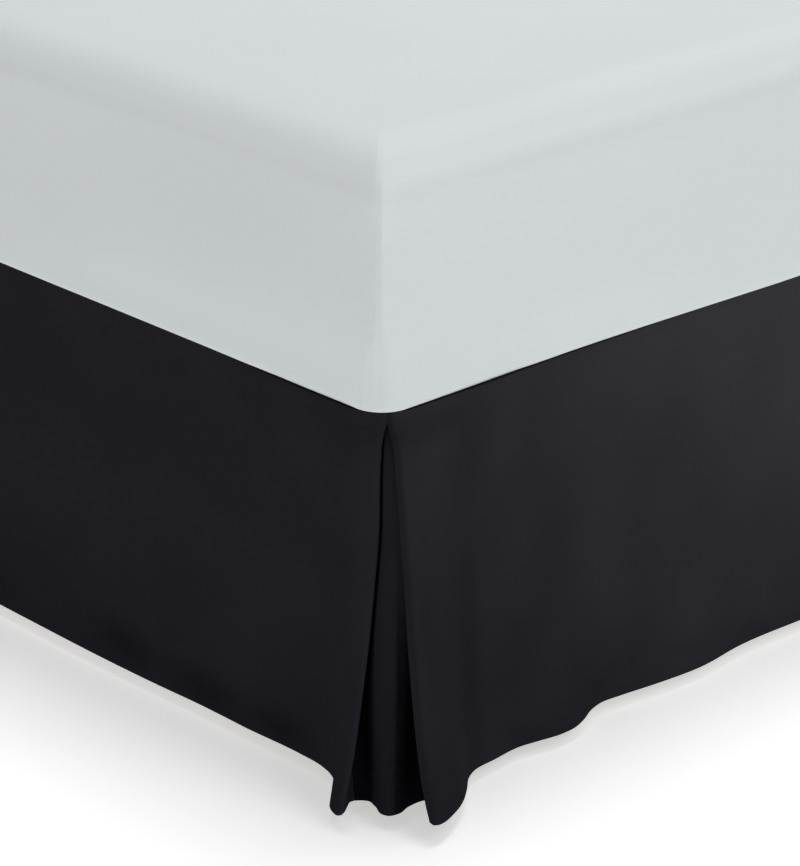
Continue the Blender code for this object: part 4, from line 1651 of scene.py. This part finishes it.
@dataclass
class Mattress:
    """A plain mattress in a smooth fitted cover, with a sewn seam down each corner.

    Its two rolls are tables of how far, in mm, the lower edge stands out at metres along the bed from the
    foot, and at metres along the foot from its corner.
    """

    name: str = "mattress_padded"
    width: float = 1.524
    length: float = 2.032
    height: float = 0.254
    bottom: float = 0.3948
    foot_radius: float = 0.031
    side_radius: float = 0.007
    radius_reach: float = 0.105
    least_radius: float = 0.006
    narrowing: float = 0.4
    top_radius: float = 0.050
    bottom_radius: float = 0.005
    base_inset: float = 0.014
    crown: float = 0.003
    crown_reach: float = 0.45
    bottom_steps: int = 5
    side_steps: int = 46
    top_steps: int = 15
    top_insets: tuple[float, ...] = (
        0.056, 0.064, 0.074, 0.088, 0.106, 0.13, 0.16, 0.20, 0.25, 0.31, 0.38, 0.46, 0.54, 0.62, 0.69,
    )
    corner_steps: int = 24
    from_corner: tuple[float, ...] = (
        0.004, 0.008, 0.013, 0.018, 0.024, 0.031, 0.040, 0.052, 0.068, 0.088, 0.112, 0.14, 0.17, 0.21, 0.26,
        0.31, 0.37, 0.43, 0.50, 0.57, 0.64,
    )
    corner_share: float = 0.45
    turned_heights: Range = (0.250, 0.214)
    side_from: Range = (0.006, 0.024)
    side_below_top: Range = (0.002, 0.03)
    seam_depth: float = 0.0005
    seam_width: float = 0.0022
    dimple_depth: float = 0.0016
    dimple_height: float = 0.180
    dimple_width: float = 0.013
    dimple_reach: float = 0.028
    pucker_height: float = 0.0003
    pucker_lengths: Range = (0.0078, 0.0208)
    pucker_slant: float = 0.15
    pucker_seed: int = 71
    pucker_from: float = 0.008
    pucker_reach: float = 0.009
    uneven_seed: int = 83
    uneven_lengths: Range = (0.22, 0.60)
    uneven_upwards: float = 1.3
    uneven_from: Range = (0.01, 0.06)
    uneven_side: float = 0.0012
    uneven_top: float = 0.0007
    slack: float = 0.0009
    base_kept: float = 0.004
    roll_heights: Range = (0.060, 0.008)
    roll_insets: Range = (0.012, 0.006)
    side_roll: tuple[Range, ...] = (
        (0.0, 1.9), (0.05, 1.9), (0.09, 1.2), (0.13, 0.3), (0.165, -1.0), (0.205, -1.1), (0.245, -2.0),
        (0.285, -2.1), (0.325, -1.7), (0.37, -1.3), (0.41, -0.2), (0.45, 0.7), (0.49, 1.7), (0.535, 2.7),
        (0.62, 2.2), (0.90, 1.6), (1.30, 2.2), (2.04, 1.6),
    )
    foot_roll: tuple[Range, ...] = (
        (0.0, 0.9), (0.06, 1.1), (0.10, 1.2), (0.15, 1.0), (0.19, 1.3), (0.24, 0.8), (0.40, 0.9),
        (0.50, 1.2), (0.77, 1.1),
    )

    def outline(self, inset: float, radius: float) -> tuple[np.ndarray, np.ndarray]:
        """A closed plan outline with close points at its corners.

        Args:
            inset: How far it lies inside the mattress's box.
            radius: Its corners' radius.

        Returns:
            The points, anticlockwise, and each one's signed distance from its corner's seam.
        """
        half = np.array([self.width / 2 - inset, self.length / 2 - inset])
        turn = np.linspace(0.0, math.pi / 2, self.corner_steps + 1)
        points, gaps = [], []
        for quarter, sign in enumerate(((1, 1), (-1, 1), (-1, -1), (1, -1))):
            centre = np.array(sign) * (half - radius)
            angle = turn + quarter * math.pi / 2
            arc = centre + radius * np.column_stack([np.cos(angle), np.sin(angle)])
            gap = radius * (turn - math.pi / 4)
            heading = np.array([-math.sin(angle[-1]), math.cos(angle[-1])])
            run = 2 * float(abs(heading) @ (half - radius))
            steps = np.array(self.from_corner) * min(1.0, self.corner_share * run / self.from_corner[-1])
            after = arc[-1] + heading * steps[:, None]
            before = arc[-1] + heading * (run - steps[::-1])[:, None]
            points += [arc, after, arc[-1:] + heading * run / 2, before]
            gaps += [gap, gap[-1] + steps, [1.0], -(gap[-1] + steps[::-1])]
        return np.concatenate(points), np.concatenate(gaps)

    def profile(self) -> list[tuple[float, float, float]]:
        """The side's profile from the underside to the middle of the top.

        Returns:
            For each ring its inset, its height over the mattress's bottom and its corner radius.
        """
        low, high, tall = self.bottom_radius, self.top_radius, self.height - self.crown
        rings = [(self.base_inset, 0.0)]
        for turn in np.linspace(0.0, math.pi / 2, self.bottom_steps):
            rings.append((low * (1 - math.sin(turn)), low * (1 - math.cos(turn))))
        rings += [(0.0, height) for height in np.linspace(low, tall - high, self.side_steps)[1:-1]]
        for turn in np.linspace(0.0, math.pi / 2, self.top_steps):
            rings.append((high * (1 - math.cos(turn)), tall - high * (1 - math.sin(turn))))
        for inset in self.top_insets:
            rings.append((inset, tall + self.crown * float(smoothstep(inset, high, self.crown_reach))))
        found = []
        for inset, height in rings:
            widened = float(smoothstep(height, self.radius_reach, 0.0))
            radius = self.side_radius + (self.foot_radius - self.side_radius) * widened
            found.append((inset, height, max(radius - self.narrowing * inset, self.least_radius)))
        return found

    def rolled(self, points: np.ndarray) -> np.ndarray:
        """Let the lower edge roll in and out a little over the box spring.

        Args:
            points: Rings of points.

        Returns:
            The moved points.
        """
        plan, radius = points[..., :2], self.foot_radius
        side, foot = np.array(self.side_roll), np.array(self.foot_roll)
        over = np.maximum(np.abs(plan) - np.array([self.width, self.length]) / 2 + radius, 0.0)
        reach = np.maximum(np.linalg.norm(over, axis=2), 1e-9)
        on_side = np.where(plan[..., 1] > 0, 1.0, smoothstep(over[..., 0] - over[..., 1], -radius, radius))
        side_roll = np.interp(plan[..., 1] + self.length / 2, side[:, 0], side[:, 1])
        foot_roll = np.interp(self.width / 2 - np.abs(plan[..., 0]), foot[:, 0], foot[:, 1])
        roll = (on_side * side_roll + (1 - on_side) * foot_roll) * MM
        roll *= smoothstep(radius - reach, *self.roll_insets)
        roll *= smoothstep(points[..., 2] - self.bottom, *self.roll_heights)
        moved = points.copy()
        moved[..., :2] += np.sign(plan) * over * (roll / reach)[..., None]
        return moved

    def sewn(self, points: np.ndarray, gaps: np.ndarray) -> np.ndarray:
        """Draw in the corner seams, pucker the cloth beside them and make the pad a little uneven.

        Args:
            points: Rings of points.
            gaps: Each point's distance from its corner's seam.

        Returns:
            The moved points.
        """
        across, up = np.roll(points, -1, 1) - np.roll(points, 1, 1), np.gradient(points, axis=0)
        normal = np.cross(across, up)
        normal /= np.maximum(np.linalg.norm(normal, axis=2, keepdims=True), 1e-9)
        x, y, height = points[..., 0], points[..., 1], points[..., 2] - self.bottom
        upper, lower = (self.height - below for below in self.side_below_top)
        on_side = smoothstep(height, *self.side_from) * smoothstep(height, upper, lower)
        dimple = bell(gaps, self.dimple_width) * bell(height - self.dimple_height, self.dimple_reach)
        groove = self.seam_depth * bell(gaps, self.seam_width) + self.dimple_depth * dimple
        puckers = Ripple(self.pucker_seed, self.pucker_lengths)
        puckers = puckers.at(height, self.pucker_slant * gaps + x)
        puckers = self.pucker_height * puckers * bell(np.abs(gaps) - self.pucker_from, self.pucker_reach)
        slow = Ripple(self.uneven_seed, self.uneven_lengths)
        level = np.abs(normal[..., 2])
        wave = self.uneven_side * slow.at(x + y, self.uneven_upwards * height) * (1 - level)
        wave = (wave + self.uneven_top * slow.at(x, y) * level) * smoothstep(height, *self.uneven_from)
        move = on_side * (puckers - groove) + wave - self.slack
        return points + normal * (move * smoothstep(height, 0.0, self.base_kept))[..., None]

    def build(self) -> bpy.types.Object:
        """Make the padded piece from its rings and hand it over.

        Returns:
            The finished mattress.
        """
        rings, gaps, turned = [], [], []
        for inset, height, radius in self.profile():
            plan, gap = self.outline(inset, radius)
            rings.append(np.column_stack([plan, np.full(len(plan), self.bottom + height)]))
            gaps.append(gap)
            # How far round a corner's turn each point lies, where the cover gets painted shade.
            on_side = smoothstep(height, *self.turned_heights)
            turned.append(on_side * np.cos(np.clip(2 * gap / radius, -math.pi / 2, math.pi / 2)))
        points = self.rolled(self.sewn(np.array(rings), np.array(gaps)))
        count = points.shape[1]
        faces = [tuple(reversed(range(count)))]
        for low in range(0, (len(points) - 1) * count, count):
            for index in range(count):
                following = (index + 1) % count
                faces.append((low + index, low + following, low + count + following, low + count + index))
        faces.append(tuple(range((len(points) - 1) * count, len(points) * count)))
        mesh = new_mesh(self.name, points, faces)
        mark(mesh, Mark.TURNED, np.array(turned))
        mesh.shade_smooth()
        obj = new_piece(self.name, mesh, COVER_CLOTH.paint(self.name))
        hand_over(obj, "mattress_cover", "mattress")
        return obj


class Element(Enum):
    """What a bench picks, by Blender's name for it."""

    EDGE = "EDGE"
    FACE = "FACE"


class Bench:
    """A workbench that shapes one primitive with the edit tools."""

    def __init__(self, name: str, add: Callable[..., object], **settings: object) -> None:
        """Add a primitive at its size and place and take it into edit mode.

        Args:
            name: The new piece's name.
            add: The operator that adds the primitive.
            settings: The operator's settings.
        """
        bpy.ops.object.select_all(action="DESELECT")
        add(**settings)
        self.obj = bpy.context.active_object
        self.obj.name = self.obj.data.name = name
        bpy.ops.object.transform_apply(location=True, rotation=True, scale=True)
        bpy.ops.object.mode_set(mode="EDIT")

    def pick(self, kind: Element, wanted: Callable[[object], bool]) -> None:
        """Select the faces or edges that a test says yes to, and nothing else.

        Args:
            kind: Faces or edges.
            wanted: The test, given a bmesh face or edge.
        """
        bpy.ops.mesh.select_mode(type=kind.value)
        bpy.ops.mesh.select_all(action="DESELECT")
        shape = bmesh.from_edit_mesh(self.obj.data)
        for element in shape.faces if kind is Element.FACE else shape.edges:
            element.select_set(bool(wanted(element)))
        bmesh.update_edit_mesh(self.obj.data)

    def bevel(self, wanted: Callable[[bmesh.types.BMEdge], bool], width: float, segments: int) -> None:
        """Round the edges that a test says yes to.

        Args:
            wanted: The test, given an edge.
            width: How far the rounding reaches.
            segments: How many steps it has.
        """
        self.pick(Element.EDGE, wanted)
        bpy.ops.mesh.bevel(offset=width, segments=segments, affect="EDGES")

    def done(self, material: bpy.types.Material, angle: float = 40.0) -> bpy.types.Object:
        """Leave edit mode, shade the piece and give it its material.

        Args:
            material: The piece's material.
            angle: Edges sharper than this many degrees stay crisp.

        Returns:
            The finished object.
        """
        bpy.ops.mesh.select_all(action="SELECT")
        bpy.ops.mesh.normals_make_consistent(inside=False)
        bpy.ops.object.mode_set(mode="OBJECT")
        bpy.ops.object.shade_smooth_by_angle(angle=math.radians(angle))
        self.obj.data.materials.clear()
        self.obj.data.materials.append(material)
        return self.obj


@dataclass
class BoxSpring:
    """An upholstered box spring: padded side borders between a welt at the top and one at the bottom."""

    name: str = "box_spring_covered"
    height: float = 0.203
    bottom: float = 0.190
    corner_steps: int = 12
    edge_radius: float = 0.005
    edge_steps: int = 4
    sharp: float = 1.0
    welt: float = 0.012
    border_slope: float = 0.0015
    border_inset: float = 0.0016

    @property
    def middle(self) -> float:
        """The height of its middle."""
        return self.bottom + self.height / 2

    def upright(self, edge: bmesh.types.BMEdge) -> bool:
        """Whether an edge runs straight up."""
        along = edge.verts[1].co - edge.verts[0].co
        return abs(along.z) > NEARLY * along.length

    def on_rim(self, edge: bmesh.types.BMEdge) -> bool:
        """Whether an edge runs round the top or the bottom.

        Args:
            edge: The edge.

        Returns:
            True if it does.
        """
        reach = self.height / 2 - MM / 10
        outermost = all(abs(vert.co.z - self.middle) > reach for vert in edge.verts)
        if not outermost or len(edge.link_faces) != 2 or self.upright(edge):
            return False
        return edge.calc_face_angle(0.0) > self.sharp

    def build(self) -> bpy.types.Object:
        """Make the box spring and hand it over.

        Returns:
            The finished piece.
        """
        bench = Bench(
            self.name,
            bpy.ops.mesh.primitive_cube_add,
            size=1.0,
            location=(0.0, 0.0, self.middle),
            scale=(BED_WIDTH, BED_LENGTH, self.height),
        )
        bench.bevel(self.upright, BED_CORNER_RADIUS, self.corner_steps)
        reach = self.height / 2 - self.welt
        for level in (self.middle - reach, self.middle + reach):
            bpy.ops.mesh.select_all(action="SELECT")
            bpy.ops.mesh.bisect(plane_co=(0.0, 0.0, level), plane_no=(0.0, 0.0, 1.0))
        bench.pick(Element.FACE, lambda face: abs(face.calc_center_median().z - self.middle) < reach / 2)
        bpy.ops.mesh.inset(thickness=self.border_slope, depth=-self.border_inset)
        bench.bevel(self.on_rim, self.edge_radius, self.edge_steps)
        obj = bench.done(TICKING.paint(self.name))
        hand_over(obj, "box_spring_ticking", "box_spring")
        return obj


@dataclass
class Legs:
    """Five turned beech legs, tapered to the foot."""

    radius: float = 0.026
    foot_radius: float = 0.019
    taper_height: float = 0.120
    height: float = 0.1897
    inset: float = 0.160
    foot_chamfer: float = 0.002
    foot_steps: int = 3
    shoulder_round: float = 0.012
    shoulder_steps: int = 4
    level_margin: float = MM / 10
    crisp_from: float = 50.0
    sides: int = 48

    def places(self) -> dict[str, tuple[float, float]]:
        """Where the legs stand.

        Returns:
            Each leg's plan place, by its name.
        """
        x, y = BED_WIDTH / 2 - self.inset, BED_LENGTH / 2 - self.inset
        return {
            "centre": (0.0, 0.0),
            "foot_right": (x, -y),
            "foot_left": (-x, -y),
            "head_right": (x, y),
            "head_left": (-x, y),
        }

    def turned(self) -> bpy.types.Object:
        """Turn one leg at the origin.

        Returns:
            The leg, not yet handed over.
        """
        bench = Bench(
            "leg_turned_centre",
            bpy.ops.mesh.primitive_cone_add,
            vertices=self.sides,
            radius1=self.foot_radius,
            radius2=self.radius,
            depth=self.taper_height,
            location=(0.0, 0.0, self.taper_height / 2),
        )
        bench.pick(Element.FACE, lambda face: face.normal.z > NEARLY)
        rise = {"value": (0.0, 0.0, self.height - self.taper_height)}
        bpy.ops.mesh.extrude_region_move(TRANSFORM_OT_translate=rise)
        bench.bevel(lambda edge: self.lies_at(edge, 0.0), self.foot_chamfer, self.foot_steps)
        shoulder = self.taper_height
        bench.bevel(lambda edge: self.lies_at(edge, shoulder), self.shoulder_round, self.shoulder_steps)
        return bench.done(BEECH.paint("leg_beech"), angle=self.crisp_from)

    def lies_at(self, edge: bmesh.types.BMEdge, level: float) -> bool:
        """Whether both ends of an edge lie at a height."""
        return all(abs(vert.co.z - level) < self.level_margin for vert in edge.verts)

    def build(self) -> None:
        """Turn the first leg and copy it to the other places."""
        pattern = self.turned()
        for name, (x, y) in self.places().items():
            if name == "centre":
                obj = pattern
            else:
                obj = in_scene(bpy.data.objects.new(f"leg_turned_{name}", pattern.data.copy()))
                obj.data.transform(Matrix.Translation((x, y, 0.0)))
            hand_over(obj, "beech_leg", f"leg_{name}")


# ---------------------------------------------------------------------------------------------------------
# The studio
# ---------------------------------------------------------------------------------------------------------


@dataclass(frozen=True)
class Softbox:
    """A square area light that looks at a point."""

    name: str
    place: Point
    target: Point
    size: float
    power: float

    def hang(self) -> bpy.types.Object:
        """Make the light.

        Returns:
            The light's object.
        """
        light = bpy.data.lights.new(self.name, "AREA")
        light.shape, light.size, light.energy = "SQUARE", self.size, self.power
        obj = in_scene(bpy.data.objects.new(self.name, light))
        obj.location = self.place
        aim = Vector(self.target) - Vector(self.place)
        obj.rotation_euler = aim.to_track_quat("-Z", "Y").to_euler()
        return obj


@dataclass
class Studio:
    """A pale floor, soft light and the camera."""

    floor_size: float = 60.0
    sky: Colour = (0.13, 0.13, 0.13)
    lens: float = 156.5
    seen: Range = (0.1, 100.0)
    camera_place: Point = (3.089, -3.119, 1.659)
    camera_turn: Point = (67.84, 0.0, 47.55)
    lights: tuple[Softbox, ...] = (
        Softbox("key", (4.0, -0.3, 4.0), (0.75, -0.8, 0.3), 2.4, 35.0),
        Softbox("side", (11.85, -3.4, 2.5), (0.75, -0.9, 0.25), 5.0, 187.0),
        Softbox("front", (2.45, -12.0, 2.5), (0.7, -1.0, 0.25), 5.0, 197.0),
        Softbox("overhead", (0.5, -0.5, 5.0), (0.5, -0.5, 0.6), 3.0, 40.0),
        Softbox("above_bed", (0.0, 0.0, 4.0), (0.0, 0.0, 0.6), 1.6, 61.0),
    )

    def floor(self) -> None:
        """Lay the floor."""
        bench = Bench("floor", bpy.ops.mesh.primitive_plane_add, size=self.floor_size)
        obj = bench.done(StudioPaint().paint("floor_paint"))

    def surroundings(self) -> None:
        """Set the even light from all round and the plain view of colours."""
        world = bpy.data.worlds.new("studio")
        world.use_nodes = True
        world.node_tree.nodes["Background"].inputs["Color"].default_value = (*self.sky, 1.0)
        bpy.context.scene.world = world
        bpy.context.scene.view_settings.view_transform = "Standard"

    def camera(self) -> None:
        """Place the camera."""
        data = bpy.data.cameras.new("camera")
        data.lens = self.lens
        data.clip_start, data.clip_end = self.seen
        obj = in_scene(bpy.data.objects.new("camera", data))
        obj.location = self.camera_place
        obj.rotation_euler = [math.radians(angle) for angle in self.camera_turn]
        bpy.context.scene.camera = obj

    def build(self) -> None:
        """Set the whole studio up."""
        self.floor()
        self.surroundings()
        for light in self.lights:
            light.hang()
        self.camera()
        LOG.info("studio: floor, %d lights and camera", len(self.lights))


def main() -> None:
    """Build the bed, the skirt on it and the studio round it."""
    logging.basicConfig(level=logging.INFO, format="%(name)s: %(message)s")
    Legs().build()
    BoxSpring().build()
    BedSkirt().build()
    Mattress().build()
    Studio().build()


if __name__ == "__main__":
    main()
